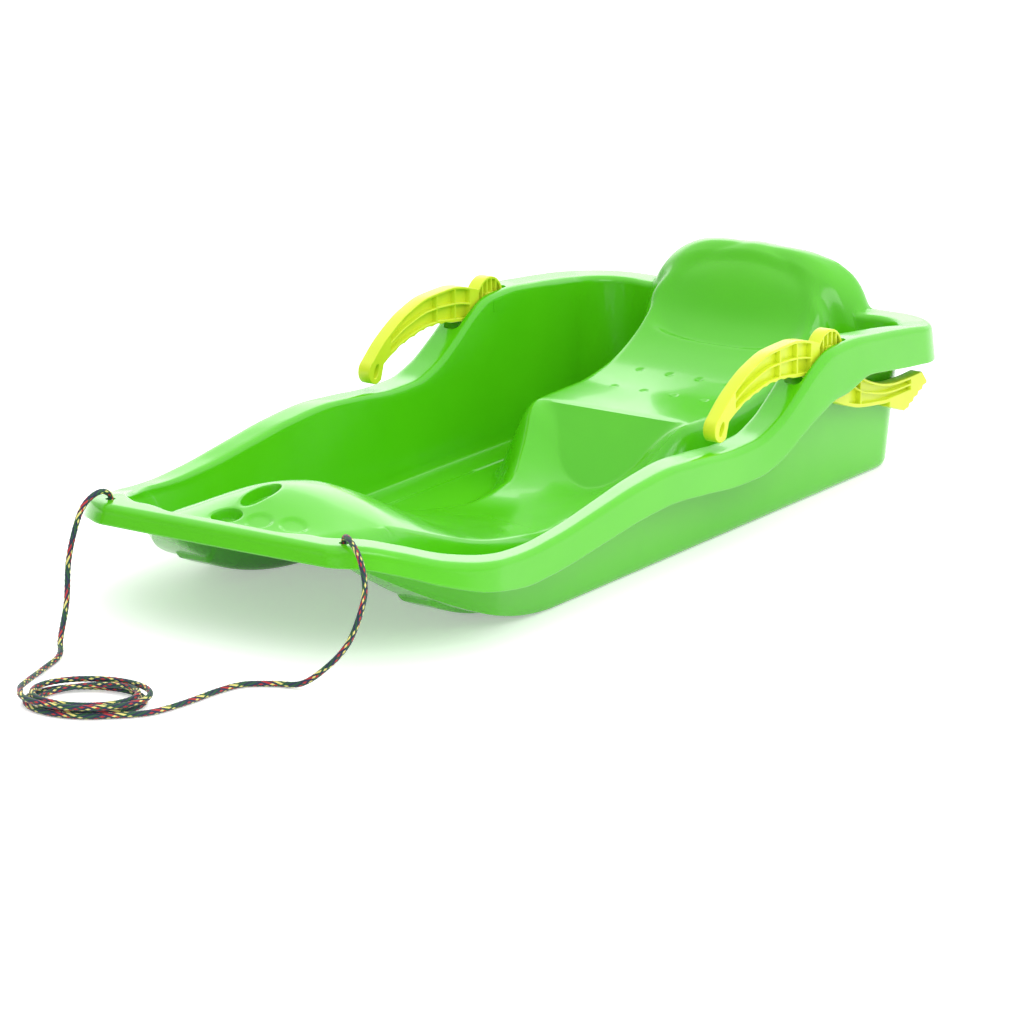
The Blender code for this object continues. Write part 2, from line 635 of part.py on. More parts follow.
def make_hull(look):
    hull = add_object("hull", shell_mesh(), look)
    pivot_z = rim_height(PIVOT_Y) - PIVOT_BELOW_CREST
    bosses, bores, slots, holes = [], [], [], []
    for side in (-1, 1):
        crest = rim_height(PIVOT_Y - BOSS_HALF) - BOSS_BELOW_CREST
        for inner, outer in (BOSS_INNER, BOSS_OUTER):
            low, high = sorted((side * inner, side * outer))
            box = ((PIVOT_Y - BOSS_HALF, pivot_z - BOSS_DEEP), (PIVOT_Y + BOSS_HALF, pivot_z - BOSS_DEEP),
                   (PIVOT_Y + BOSS_HALF, crest), (PIVOT_Y - BOSS_HALF, crest))
            bosses.append(prism(box, low, high, 0))
        low, high = sorted((side * (PIN_INNER - GAP), side * (PIN_OUTER + GAP)))
        bores.append(prism(circle(PIVOT_Y, pivot_z, PIN_RADIUS + GAP, ROUND_SIDES), low, high, 0))
        low, high = sorted((side * (LEVER_X - LEVER_WIDE / 2 - SLOT_SIDE_GAP),
                            side * (LEVER_X + LEVER_WIDE / 2 + SLOT_SIDE_GAP)))
        slot = rounded_box((low, SLOT_FRONT), (high, SLOT_REAR), SLOT_CORNER)
        slots.append(prism(slot, pivot_z - SLOT_DEEP, CUT_TOP, 2))
        holes.append(prism(circle(side * HOLE_X, HOLE_Y, HOLE_RADIUS, ROUND_SIDES), *HOLE_CUT, 2))
    cups = [draped(recess, RECESS_WALL, -recess[4] - RECESS_WALL, -WALL / 2) for recess in RECESSES]
    pockets = [draped(recess, 0.0, -recess[4], RECESS_OVER) for recess in RECESSES]
    boolean(hull, add_cutter("slot_cut", join_meshes(slots)), "DIFFERENCE")
    boolean(hull, add_cutter("boss_add", join_meshes(bosses + cups)), "UNION")
    boolean(hull, add_cutter("recess_cut", join_meshes(pockets)), "DIFFERENCE")
    boolean(hull, add_cutter("bore_cut", join_meshes(bores)), "DIFFERENCE")
    boolean(hull, add_cutter("hole_cut", join_meshes(holes)), "DIFFERENCE")
    return hull


def curve_points(stations, start, end, count):
    """Points of a station curve from start to end."""
    at = np.linspace(start, end, count)
    return list(zip(at, smooth_curve(stations, at)))


def lever_outline(pivot_z):
    """Side outline of the lever, forward distance and height from the pivot."""
    points = curve_points(HANDLE_TOP, HANDLE_TOP_START, HANDLE_TOP_END, BAND_POINTS)
    for k in range(TIP_STEPS + 1):
        a = TIP_FROM - TIP_TURN * k / TIP_STEPS
        points.append((TIP_CENTRE[0] + TIP_RADIUS * math.cos(a), TIP_CENTRE[1] + TIP_RADIUS * math.sin(a)))
    scallop_end = SCALLOP_START + SCALLOPS * SCALLOP_PITCH
    for u in np.linspace(HANDLE_BOTTOM_END, HANDLE_BOTTOM_START, UNDER_POINTS):
        w = float(smooth_curve(HANDLE_BOTTOM, u))
        if SCALLOP_START < u < scallop_end:
            w += SCALLOP_DEPTH * abs(math.sin(math.pi * (u - SCALLOP_START) / SCALLOP_PITCH))
        points.append((u, w))
    points += list(THROAT)
    points += [(-b, w) for b, w in curve_points(TAIL_BOTTOM, TAIL_BOTTOM_START, TAIL_BOTTOM_END, TAIL_POINTS)]
    points += [FOOT_FRONT, BLADE_BOTTOM]
    edge = Vector(BLADE_TOP) - Vector(BLADE_BOTTOM)
    outward = Vector((edge.y, -edge.x)).normalized()
    if outward.x > 0:
        outward = -outward
    for k in range(TEETH):
        root = Vector(BLADE_BOTTOM) + edge * ((k + TOOTH_ROOT) / TEETH)
        crown = Vector(BLADE_BOTTOM) + edge * ((k + TOOTH_CROWN) / TEETH)
        points += [tuple(root), tuple(crown + outward * TOOTH_DEPTH)]
    points += [BLADE_TOP, BLADE_CORNER]
    points += [(-b, w) for b, w in curve_points(TAIL_TOP, TAIL_TOP_END, TAIL_TOP_START, BAND_POINTS)]
    under = float(rim_height(PIVOT_Y + HEEL_BACK)) - WALL - pivot_z - HEEL_CLEAR
    points.append((-HEEL_BACK - HEEL_EDGE, under - HEEL_FALL))
    points.append((-HEEL_BACK, under - HEEL_EDGE))
    points.append((-HEEL_BACK + HEEL_CHAMFER, under))
    first = math.asin(under / HUB_RADIUS)
    for k in range(HUB_STEPS + 1):
        a = math.pi - first - (math.pi - first - HUB_TO) * k / HUB_STEPS
        points.append((HUB_RADIUS * math.cos(a), HUB_RADIUS * math.sin(a)))
    return points


def band_cells(top, bottom, ribs, sign):
    """Pocket outlines between the flanges, the middle rib and the cross ribs of a band."""
    cells = []
    for start, end in zip(ribs[:-1], ribs[1:]):
        count = max(POCKET_LEAST, int((end - start) / POCKET_STEP))
        at = np.linspace(start + RIB / 2, end - RIB / 2, count)
        upper = smooth_curve(top, at) - FLANGE
        lower = smooth_curve(bottom, at) + FLANGE + SCALLOP_DEPTH
        middle = (upper + lower) / 2
        for high, low in ((upper, middle + RIB / 2), (middle - RIB / 2, lower)):
            keep = high - low > POCKET_END
            if keep.sum() < POCKET_LEAST - 1:
                continue
            over = list(zip(sign * at[keep], high[keep]))
            under = list(zip(sign * at[keep], low[keep]))
            cells.append(over + under[::-1])
    return cells


def make_lever(name, side, look):
    pivot_z = float(rim_height(PIVOT_Y)) - PIVOT_BELOW_CREST
    middle = side * LEVER_X

    def seat(points):
        return [(PIVOT_Y - u, pivot_z + w) for u, w in points]

    low, high = middle - LEVER_WIDE / 2, middle + LEVER_WIDE / 2
    lever = add_object(name, prism(seat(lever_outline(pivot_z)), low, high, 0), look)
    cells = band_cells(HANDLE_TOP, HANDLE_BOTTOM, HANDLE_RIBS, 1)
    cells += band_cells(TAIL_TOP, TAIL_BOTTOM, TAIL_RIBS, -1)
    cells.append(circle(TIP_CENTRE[0], TIP_CENTRE[1], TIP_HOLE, TIP_SIDES))
    cuts = []
    for ring in cells:
        cuts.append(prism(seat(ring), low - WALL, middle - WEB / 2, 0))
        cuts.append(prism(seat(ring), middle + WEB / 2, high + WALL, 0))
    bore = prism(circle(PIVOT_Y, pivot_z, PIN_RADIUS + GAP, ROUND_SIDES), low - WALL, high + WALL, 0)
    boolean(lever, add_cutter(name + "_pockets", join_meshes(cuts)), "DIFFERENCE")
    boolean(lever, add_cutter(name + "_bore", bore), "DIFFERENCE")
    origin = Vector((middle, PIVOT_Y, pivot_z))
    for vertex in lever.data.vertices:
        vertex.co -= origin
    lever.location = origin
    return lever


def make_pin(name, side, look):
    pivot_z = float(rim_height(PIVOT_Y)) - PIVOT_BELOW_CREST
    low, high = sorted((side * PIN_INNER, side * PIN_OUTER))
    return add_object(name, prism(circle(PIVOT_Y, pivot_z, PIN_RADIUS, ROUND_SIDES), low, high, 0), look)


def coil_points():
    """The slack of the rope: an oval spiral in on top, a way down, and a spiral out on the floor."""
    steps = int(round(COIL_TURNS * COIL_POINTS))
    points = []
    low = ROPE_RADIUS + FLOOR_LIFT
    for k in range(steps + 1):
        turn = k / COIL_POINTS
        angle = math.tau * (COIL_START_TURN + turn)
        fall = float(smooth_step(COIL_FALL_AT, COIL_FALL_AT + COIL_FALL_TURN, turn))
        wound = min(turn, COIL_FALL_AT) - max(turn - COIL_FALL_AT - COIL_FALL_TURN, 0.0)
        u = (COIL_LONG - wound * COIL_LONG_PITCH) * math.cos(angle)
        v = (COIL_SHORT - wound * COIL_SHORT_PITCH) * math.sin(angle)
        points.append(Vector((COIL_X + u * math.cos(COIL_SLANT) - v * math.sin(COIL_SLANT),
                              COIL_Y + u * math.sin(COIL_SLANT) + v * math.cos(COIL_SLANT),
                              low + (1 - fall) * COIL_LAYER)))
    return points


def straight_ends(points):
    """Ends of the coil, drawn out along the tangent for one tube diameter."""
    for end, neighbour in ((0, 1), (-1, -2)):
        direction = (points[end] - points[neighbour]).normalized()
        extra = points[end] + direction * COIL_END_STEP
        if end == 0:
            points.insert(0, extra)
        else:
            points.append(extra)
    return points


def coil_clearance(points):
    """Least gap of the coil's tube to itself, away from its own neighbours."""
    fine = []
    for a, b in zip(points[:-1], points[1:]):
        fine += [a.lerp(b, t / COIL_CHECK) for t in range(COIL_CHECK)]
    fine.append(points[-1])
    spots = np.array(fine)
    length = np.concatenate([[0.0], np.cumsum(np.linalg.norm(np.diff(spots, axis=0), axis=1))])
    apart = np.linalg.norm(spots[:, None] - spots[None], axis=2)
    near = np.abs(length[:, None] - length[None]) < COIL_NEAR
    apart[near] = LENGTH
    return float(apart.min()) - 2 * ROPE_RADIUS


def routed(points):
    """Even points on a Catmull-Rom curve through a route whose first and last stretch stay straight."""
    points = [Vector(p) for p in points]
    fine = []
    for a, b, c, d in zip(points[:-3], points[1:-2], points[2:-1], points[3:]):
        for k in range(ROUTE_STEPS):
            t = k / ROUTE_STEPS
            fine.append(0.5 * ((2 * b) + (c - a) * t + (2 * a - 5 * b + 4 * c - d) * t * t
                               + (3 * b - a - 3 * c + d) * t ** 3))
    fine.append(points[-2])
    spots = np.array(fine)
    length = np.concatenate([[0.0], np.cumsum(np.linalg.norm(np.diff(spots, axis=0), axis=1))])
    count = int(round(length[-1] / ROUTE_SPACING))
    at = np.linspace(0.0, length[-1], count + 1)
    between = [Vector([float(np.interp(s, length, spots[:, i])) for i in range(3)]) for s in at]
    return [points[0]] + between + [points[-1]]


def tube(name, points, look, resolution):
    data = bpy.data.curves.new(name, "CURVE")
    data.dimensions = "3D"
    data.bevel_depth = ROPE_RADIUS
    data.bevel_resolution = resolution
    data.use_fill_caps = True
    data.twist_mode = "MINIMUM"
    line = data.splines.new("POLY")
    line.points.add(len(points) - 1)
    for spot, p in zip(line.points, points):
        spot.co = (*p, 1.0)
    item = bpy.data.objects.new(name, data)
    bpy.context.scene.collection.objects.link(item)
    data.materials.append(look)
    return item


def make_rope(look):
    """Right run, coil and left run of one rope, meeting face to face."""
    coil = straight_ends(coil_points())
    print("coil to itself, mm:", round(coil_clearance(coil) * 1000, 2))
    start_way = (coil[1] - coil[0]).normalized()
    end_way = (coil[-1] - coil[-2]).normalized()
    over = float(rim_height(CREST_FRONT))
    under = over - WALL - KNOT_GAP + GAP
    rider_right = [(-HOLE_X, HOLE_Y, under), (-HOLE_X, HOLE_Y, over + ROPE_OVER)]
    rider_right += list(ROUTE_MINUS_X)
    meet = coil[0] - start_way * GAP
    rider_right += [tuple(meet - start_way * 2 * ROPE_RADIUS), tuple(meet)]
    meet = coil[-1] + end_way * GAP
    rider_left = [tuple(meet), tuple(meet + end_way * 2 * ROPE_RADIUS)]
    rider_left += list(ROUTE_PLUS_X)
    rider_left += [(HOLE_X, HOLE_Y, over + ROPE_OVER), (HOLE_X, HOLE_Y, under)]
    tube("rope_right", routed(rider_right), look, N_TUBE_FINE)
    tube("rope_coil", coil, look, N_TUBE_COARSE)
    tube("rope_left", routed(rider_left), look, N_TUBE_FINE)
    for name, side in (("knot_right", -1), ("knot_left", 1)):
        make_knot(name, side * HOLE_X, over - WALL - KNOT_GAP, look)


def make_knot(name, x, top, look):
    mesh = bmesh.new()
    rows = []
    for k in range(KNOT_ROWS + 1):
        a = math.pi * k / KNOT_ROWS
        radius = max(KNOT_NECK, KNOT_RADIUS * math.sin(a))
        z = top - KNOT_TALL / 2 + KNOT_TALL / 2 * math.cos(a)
        rows.append([mesh.verts.new((x + p, HOLE_Y + q, z)) for p, q in circle(0, 0, radius, KNOT_SIDES)])
    for upper, lower in zip(rows[:-1], rows[1:]):
        for i in range(KNOT_SIDES):
            n = (i + 1) % KNOT_SIDES
            mesh.faces.new((upper[i], lower[i], lower[n], upper[n]))
    mesh.faces.new(rows[0])
    mesh.faces.new(list(reversed(rows[-1])))
    bmesh.ops.recalc_face_normals(mesh, faces=mesh.faces)
    return add_object(name, mesh, look)


def main():
    clear_scene()
    green = material("hull_green", (0.10, 0.62, 0.02), 0.25)
    lime = material("lever_lime", (0.72, 0.86, 0.04), 0.30)
    steel = material("pin_steel", (0.55, 0.56, 0.58), 0.35, 1.0)
    braid = material("rope_braid", (0.05, 0.10, 0.08), 0.85)
    make_hull(green)
    for name, side in (("left", 1), ("right", -1)):
        make_lever("brake_lever_" + name, side, lime)
        make_pin("pivot_pin_" + name, side, steel)
    make_rope(braid)


main()
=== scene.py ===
import math

import bmesh
import bpy
import numpy as np
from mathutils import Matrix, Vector


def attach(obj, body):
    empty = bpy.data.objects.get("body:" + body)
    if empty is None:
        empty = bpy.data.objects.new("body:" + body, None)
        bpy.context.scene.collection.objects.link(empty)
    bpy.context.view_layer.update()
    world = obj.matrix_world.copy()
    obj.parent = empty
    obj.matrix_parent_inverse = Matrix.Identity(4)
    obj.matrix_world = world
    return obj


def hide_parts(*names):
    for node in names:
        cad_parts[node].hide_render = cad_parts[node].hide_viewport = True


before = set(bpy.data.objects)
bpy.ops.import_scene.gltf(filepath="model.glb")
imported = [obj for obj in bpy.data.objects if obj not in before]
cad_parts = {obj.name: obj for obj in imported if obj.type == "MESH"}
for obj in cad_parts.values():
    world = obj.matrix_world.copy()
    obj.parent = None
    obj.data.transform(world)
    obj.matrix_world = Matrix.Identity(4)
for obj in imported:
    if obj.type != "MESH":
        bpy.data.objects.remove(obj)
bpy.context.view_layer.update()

# Camera, solved from the photo's three printed sizes
CAMERA_EYE = (2.61519, -3.89747, 1.34041)
CAMERA_AZIMUTH = math.radians(33.851)
CAMERA_ELEVATION = math.radians(15.747)
FOCAL_PIXELS, PICTURE_PIXELS, SENSOR_WIDE = 5594.5, 1024, 36.0

# Sizes in metres. Sizes that part.py has too have its values, unless a comment says otherwise
LENGTH, WIDTH, HEIGHT, WALL, GAP = 0.87, 0.4, 0.18, 0.003, 0.0003
FRONT, REAR = -LENGTH / 2, LENGTH / 2
SKIRT_FLARE = 0.003
CREST_HALF = WIDTH / 2 - SKIRT_FLARE
CREST_FRONT, CREST_REAR = FRONT + SKIRT_FLARE, REAR - SKIRT_FLARE
FRONT_CORNER_WIDE, FRONT_CORNER_LONG, FRONT_CORNER_POWER, REAR_CORNER = 0.086, 0.125, 1.35, 0.057
CREST_RADIUS, LIP_RADIUS, RIM_WIDE, BAR_WIDE, BAR_HALF, BAR_END = 0.007, 0.006, 0.033, 0.02, 0.055, 0.105
LIP_TO_FILLET = 0.002
# Rim: distance from the nose or from the rear end, height of the crest
RIM_FROM_FRONT = (
    (0.0, .107), (.014, .1066), (.038, .1), (.075, .087), (.115, .0795), (.165, .0765),
    (.215, .0795), (.275, .087), (.335, .0945), (.385, .0975), (.435, .0945),
)
RIM_FROM_REAR = (
    (.375, .09), (.345, .0905), (.31, .099), (.275, .117), (.245, .135),
    (.215, .1455), (.18, .1465), (.13, .1425), (.08, .137), (.035, .131), (0.0, .1285),
)
# Skirt: distance from the nose or from the rear end, depth below the crest
SKIRT_FROM_FRONT = ((0.0, .0165), (.06, .0185), (.12, .024), (.18, .0285), (.435, .031))
SKIRT_FROM_REAR = (
    (.345, .032), (.28, .036), (.235, .044), (.205, .045), (.155, .035), (.1, .036),
    (0.0, .032),
)
FLOOR_HALF, FLOOR_FRONT, FLOOR_REAR = 0.16, FRONT + 0.046, REAR - 0.046
FLOOR_CORNER_WIDE, FLOOR_CORNER_LONG, FLOOR_CORNER_REAR = 0.085, 0.13, 0.036
FLOOR_FILLET, FILLET_IN, FILLET_UP = 0.006, 0.35, 0.55
SOLE_CLEAR, SWEEP_START, SWEEP_RADIUS = 0.0012, FRONT + 0.262, 0.28
RUNNER_OUTER, RUNNER_STEP, RUNNER_EDGE, RUNNER_FRONT = 0.13, 0.004, 0.003, FRONT + 0.127
# Raised middle: distance from the end, height at the centre and at the edge of its top,
# half width of the top and of the foot, and the power that rounds its flank
MIDDLE_FROM_FRONT = (
    (.03, .102, .099, .066, .085, 2), (.05, .109, .098, .07, .09, 2),
    (.075, .1165, .096, .074, .096, 2), (.1, .119, .092, .077, .1, 2),
    (.14, .113, .086, .079, .102, 2), (.18, .0985, .073, .079, .101, 2),
    (.22, .079, .059, .078, .099, 2), (.26, .059, .046, .076, .096, 2),
    (.3, .043, .036, .073, .093, 2), (.35, .029, .027, .067, .089, 2),
    (.4, .019, .019, .058, .084, 2), (.45, .0135, .015, .048, .08, 2),
)
# At the seat's front some rows lie lower than the part's: the flat facet covers them
MIDDLE_FROM_REAR = (
    (.36, .011, .02, .05, .086, 2), (.33, .0105, .033, .06, .096, 2),
    (.312, .012, .046, .066, .109, 2), (.3, .018, .057, .071, .115, 2),
    (.29, .029, .0665, .075, .12, 2), (.278, .046, .0715, .078, .123, 2),
    (.269, .0715, .072, .08, .124, 2), (.2, .0725, .072, .083, .123, 2),
    (.152, .0785, .078, .084, .119, 2), (.12, .089, .089, .084, .113, 2.2),
    (.092, .104, .105, .083, .109, 2.5), (.074, .121, .122, .08, .106, 2.8),
    (.064, .139, .137, .074, .104, 3), (.054, .158, .1535, .066, .105, 2.9),
    (.042, .1735, .168, .042, .118, 3), (.03, .18, .179, .014, .127, 3),
    (.018, .1797, .1785, .016, .131, 3), (.01, .171, .1665, .067, .121, 3),
    (.004, .154, .151, .067, .121, 3), (0.0, .128, .127, .064, .119, 3),
)
EDGE_POWER, BLEND = 1.7, 0.004
# The flat facet at the seat's front, only here: where it starts, its slope, top and edge radius,
# how far behind its top it still counts, and the height below which it doesn't
SHIELD_Y, SHIELD_SLOPE, SHIELD_TOP, SHIELD_EDGE = 0.11, 1.31, 0.0712, 0.0012
SHIELD_BACK, SHIELD_LOW = 0.012, 0.004
PIVOT_Y, PIVOT_BELOW_CREST = REAR - 0.21, 0.0075
LEVER_X, LEVER_WIDE = 0.1808, 0.0125
SLOT_FRONT, SLOT_REAR, SLOT_SIDE_GAP, SLOT_CORNER = PIVOT_Y - 0.057, PIVOT_Y + 0.027, 0.0025, 0.006
HOLE_X, HOLE_Y, HOLE_RADIUS = 0.1175, FRONT + 0.021, 0.0042
PIN_RADIUS, PIN_INNER, PIN_OUTER = 0.003, LEVER_X - 0.0135, LEVER_X + 0.013
BOSS_HALF, BOSS_DEEP, BOSS_BELOW_CREST, BOSS_CLEAR = 0.0084, 0.008, 0.0045, 0.0008
BOSS_INNER = (LEVER_X - 0.0167, LEVER_X - LEVER_WIDE / 2 - BOSS_CLEAR)
BOSS_OUTER = (LEVER_X + LEVER_WIDE / 2 + BOSS_CLEAR, CREST_HALF - 0.0012)
BOSS_ROUND = 0.0012
SLOT_CUT_DOWN, SLOT_CUT_TOP = 0.045, 0.2
HOLE_CUT_LOW, HOLE_CUT_TOP = 0.085, 0.13
# Recesses in the nose: centre x and y, half width, half length, and a depth that is only this script's
RECESSES = (
    (-0.0065, FRONT + 0.0785, 0.0115, 0.022, 0.0115), (-0.013, FRONT + 0.04, 0.0135, 0.0095, 0.0095),
    (0.019, FRONT + 0.041, 0.011, 0.0095, 0.0018), (0.0465, FRONT + 0.05, 0.011, 0.01, 0.0018),
)
DEEP_RECESS, RECESS_EDGE, SOFT_EDGE, BOWL = 0.004, 0.0008, 0.22, 0.1
MOAT_DEEP, MOAT_WIDE = 0.0004, 0.1
# The groove in the floor, the headrest's dish and the seat's dimples are only here
GROOVE_X, GROOVE_WIDE, GROOVE_DEEP = 0.1305, 0.0008, 0.0018
GROOVE_START, GROOVE_END = (-0.02, 0.0), (0.13, 0.14)
DISH_HALF, DISH_Y, DISH_LONG, DISH_DEEP = 0.084, REAR - 0.07, 0.03, 0.0055
DISH_POWER, DISH_FLAT, DISH_END = 3, 0.8, 1.06
DIMPLE_RADIUS, DIMPLE_DEEP, DIMPLE_FLAT, DIMPLE_END = 0.0044, 0.0012, 0.2, 1.15
DIMPLES = [(x, y) for y in (REAR - 0.195, REAR - 0.152) for x in (-0.048, -0.016, 0.016, 0.048)]

# Heights of the tub's upper surface
CURVE_STEP, CURVE_SOFT = 0.0005, 0.003


def monotone(stations, value):
    """Smooth curve through the stations that never overshoots them."""
    xs = np.array([s[0] for s in stations], float)
    ys = np.array([s[1] for s in stations], float)
    order = np.argsort(xs)
    xs, ys = xs[order], ys[order]
    step = np.diff(xs)
    slope = np.diff(ys) / step
    tangent = np.zeros(len(xs))
    tangent[0], tangent[-1] = slope[0], slope[-1]
    same = slope[:-1] * slope[1:] > 0
    a = 2 * step[1:] + step[:-1]
    b = step[1:] + 2 * step[:-1]
    inner = (a + b) / (a / np.where(same, slope[:-1], 1.0) + b / np.where(same, slope[1:], 1.0))
    tangent[1:-1] = np.where(same, inner, 0.0)
    value = np.clip(value, xs[0], xs[-1])
    i = np.clip(np.searchsorted(xs, value) - 1, 0, len(step) - 1)
    t = (value - xs[i]) / step[i]
    return ((1 + 2 * t) * (1 - t) ** 2 * ys[i] + t * (1 - t) ** 2 * step[i] * tangent[i]
            + t * t * (3 - 2 * t) * ys[i + 1] + t * t * (t - 1) * step[i] * tangent[i + 1])


def soft_table(front_rows, rear_rows, column):
    """The part's station curve on a fine grid, softened a little so that reflections run smoothly."""
    rows = [(FRONT + r[0], r[column]) for r in front_rows] + [(REAR - r[0], r[column]) for r in rear_rows]
    at = np.arange(FRONT, REAR + CURVE_STEP / 2, CURVE_STEP)
    values = monotone(rows, at)
    reach = int(4 * CURVE_SOFT / CURVE_STEP)
    kernel = np.exp(-0.5 * (np.arange(-reach, reach + 1) * CURVE_STEP / CURVE_SOFT) ** 2)
    kernel /= kernel.sum()
    before = 2 * values[0] - values[reach:0:-1]
    after = 2 * values[-1] - values[-2:-reach - 2:-1]
    return at, np.convolve(np.concatenate([before, values, after]), kernel, mode="valid")


RIM_TABLE = soft_table(RIM_FROM_FRONT, RIM_FROM_REAR, 1)
SKIRT_TABLE = soft_table(SKIRT_FROM_FRONT, SKIRT_FROM_REAR, 1)
MIDDLE_TABLES = [soft_table(MIDDLE_FROM_FRONT, MIDDLE_FROM_REAR, c) for c in range(1, 6)]


def step_up(low, high, value):
    t = np.clip((value - low) / (high - low), 0.0, 1.0)
    return t * t * (3 - 2 * t)


def smooth_max(a, b, radius):
    h = np.maximum(radius - np.abs(a - b), 0.0) / radius
    return np.maximum(a, b) + h * h * radius / 4


def rim_height(y):
    return np.interp(y, *RIM_TABLE)


def floor_height(x, y):
    rise = np.maximum(SWEEP_START - y, 0.0)
    base = WALL + SOLE_CLEAR + rise * rise / (2 * SWEEP_RADIUS)
    inside = 1 - step_up(RUNNER_OUTER - RUNNER_EDGE / 2, RUNNER_OUTER + RUNNER_EDGE / 2, np.abs(x))
    behind = step_up(RUNNER_FRONT - RUNNER_EDGE, RUNNER_FRONT + RUNNER_EDGE, y)
    step = RUNNER_STEP + (SOLE_CLEAR - RUNNER_STEP) * step_up(RUNNER_FRONT, SWEEP_START, y)
    return base - step * inside * behind


def middle_height(x, y, floor):
    """Ridge, seat, backrest and headrest; far below the floor outside their foot."""
    centre, edge, top, foot, power = (np.interp(y, *table) for table in MIDDLE_TABLES)
    base = np.minimum(floor, edge) - BLEND
    across = np.clip(np.abs(x) / top, 0.0, 1.0)
    crown = centre + (edge - centre) * across ** EDGE_POWER
    shield = np.minimum((y - SHIELD_Y) * SHIELD_SLOPE, SHIELD_TOP)
    inside = (np.abs(x) < top) & (y < SHIELD_Y + SHIELD_TOP / SHIELD_SLOPE + SHIELD_BACK)
    inside = inside & (shield > SHIELD_LOW)
    crown = np.where(inside, smooth_max(crown, shield, SHIELD_EDGE), crown)
    fall = np.clip((np.abs(x) - top) / (foot - top), 0.0, 1.0)
    soft = 1 - step_up(0.0, 1.0, fall)
    round_off = (1 - fall ** power) ** (1 / power)
    share = np.clip(power - 2.0, 0.0, 1.0)
    raised = base + (crown - base) * (soft * (1 - share) + round_off * share)
    return np.where(np.abs(x) < foot, raised, -HEIGHT)


def carving(x, y):
    """How far the recesses, dimples, the headrest's dish and the floor's groove go down."""
    deep = np.zeros_like(x)
    for cx, cy, hx, hy, depth in RECESSES:
        r = np.sqrt(((x - cx) / hx) ** 2 + ((y - cy) / hy) ** 2)
        edge = RECESS_EDGE / min(hx, hy) if depth > DEEP_RECESS else SOFT_EDGE
        deep = deep + depth * (1 - step_up(1 - edge, 1 + edge, r)) * (1 - BOWL * np.clip(r, 0, 1) ** 2)
        deep = deep + MOAT_DEEP * np.exp(-((r - 1 - edge) / MOAT_WIDE) ** 2) * (depth > DEEP_RECESS)
    for cx, cy in DIMPLES:
        r = np.sqrt((x - cx) ** 2 + (y - cy) ** 2) / DIMPLE_RADIUS
        deep = deep + DIMPLE_DEEP * (1 - step_up(DIMPLE_FLAT, DIMPLE_END, r))
    r = np.abs(x / DISH_HALF) ** DISH_POWER + np.abs((y - DISH_Y) / DISH_LONG) ** DISH_POWER
    r = r ** (1 / DISH_POWER)
    deep = deep + DISH_DEEP * (1 - step_up(DISH_FLAT, DISH_END, r))
    groove = np.exp(-((np.abs(x) - GROOVE_X) / GROOVE_WIDE) ** 2)
    return deep + GROOVE_DEEP * groove * step_up(*GROOVE_START, y) * (1 - step_up(*GROOVE_END, y))


# The tub as a fine sheet, finer than the part's, with M faces between two marks
M = 4
N_FRONT, N_CORNER, N_SIDE = 8 * M, 6 * M, 40 * M
REAR_X = (0.0, .0185, .0365, .053, .066, .085, .101, .113)
TOP_MARKS, FLANK_MARKS = (0.0, 0.28, 0.55, 0.8, 1.0), (0.35, 0.65, 0.87)
FILLET_MARKS = (0.35, 0.7)
SKIRT_RINGS, ROUND_STEPS, WALL_STEPS, RIM_STEPS = 6, 6, 14, 4
LATTICE_EASE = 4.0 * M
# Along the sides the rings lie closer at the seat's front and towards the backrest
SIDE_SAMPLES = 2000
CLOSE_Y, CLOSE_WIDE, CLOSE_MORE = REAR - 0.3, 0.022, 3.0
BACK_START, BACK_END, BACK_MORE = REAR - 0.195, REAR - 0.085, 2.2
# Where faces are split, how often, and the edge length that ends it
REFINE_LEVELS, LEVELS_DIMPLE, LEVELS_WIDE, LEVELS_SEAT = 4, 3, 2, 1
REFINE_LENGTH = 0.0016 / 3
RECESS_MARGIN, RECESS_NEAR, RECESS_RIM = 0.0005, 1.6, (0.75, 1.25)
DIMPLE_NEAR = 0.0075
GROOVE_NEAR, GROOVE_FROM, GROOVE_TO = 0.0025, -0.025, 0.145
SEAT_NEAR, SEAT_FROM, SEAT_TO = 0.08, 0.105, 0.172
STEP_SIDE_NEAR, STEP_FRONT_NEAR, STEP_BEFORE = RUNNER_EDGE + 0.001, RUNNER_EDGE + 0.002, 0.005
SHELL_LIMIT, EDGE_ROUND, EDGE_SEGMENTS = 1.2, 0.0011, 3
HULL_ANGLE, LEVER_ANGLE, PIN_ANGLE = 32, 40, 30


def outline(half, front, rear, wide, long, corner, side):
    """Right half of a ring from the middle of the nose to the middle of the rear end."""
    points = [(k / N_FRONT * (half - wide), front) for k in range(N_FRONT + 1)]
    for k in range(1, N_CORNER + 1):
        a = math.pi / 2 * k / N_CORNER
        out = math.sin(a) ** FRONT_CORNER_POWER
        back = 1 - max(math.cos(a), 0.0) ** FRONT_CORNER_POWER
        points.append((half - wide + wide * out, front + long * back))
    low, high = front + long, rear - corner
    points += [(half, low + f * (high - low)) for f in side[1:]]
    for k in range(1, N_CORNER + 1):
        a = math.pi / 2 * k / N_CORNER
        points.append((half - corner + corner * math.cos(a), rear - corner + corner * math.sin(a)))
    back = np.interp(np.arange(N_FRONT) / M, range(len(REAR_X) + 1), (*REAR_X, half - corner))
    points += [(x, rear) for x in reversed(back)]
    return points


def closed(points):
    return np.array(points + [(-x, y) for x, y in reversed(points[1:-1])])


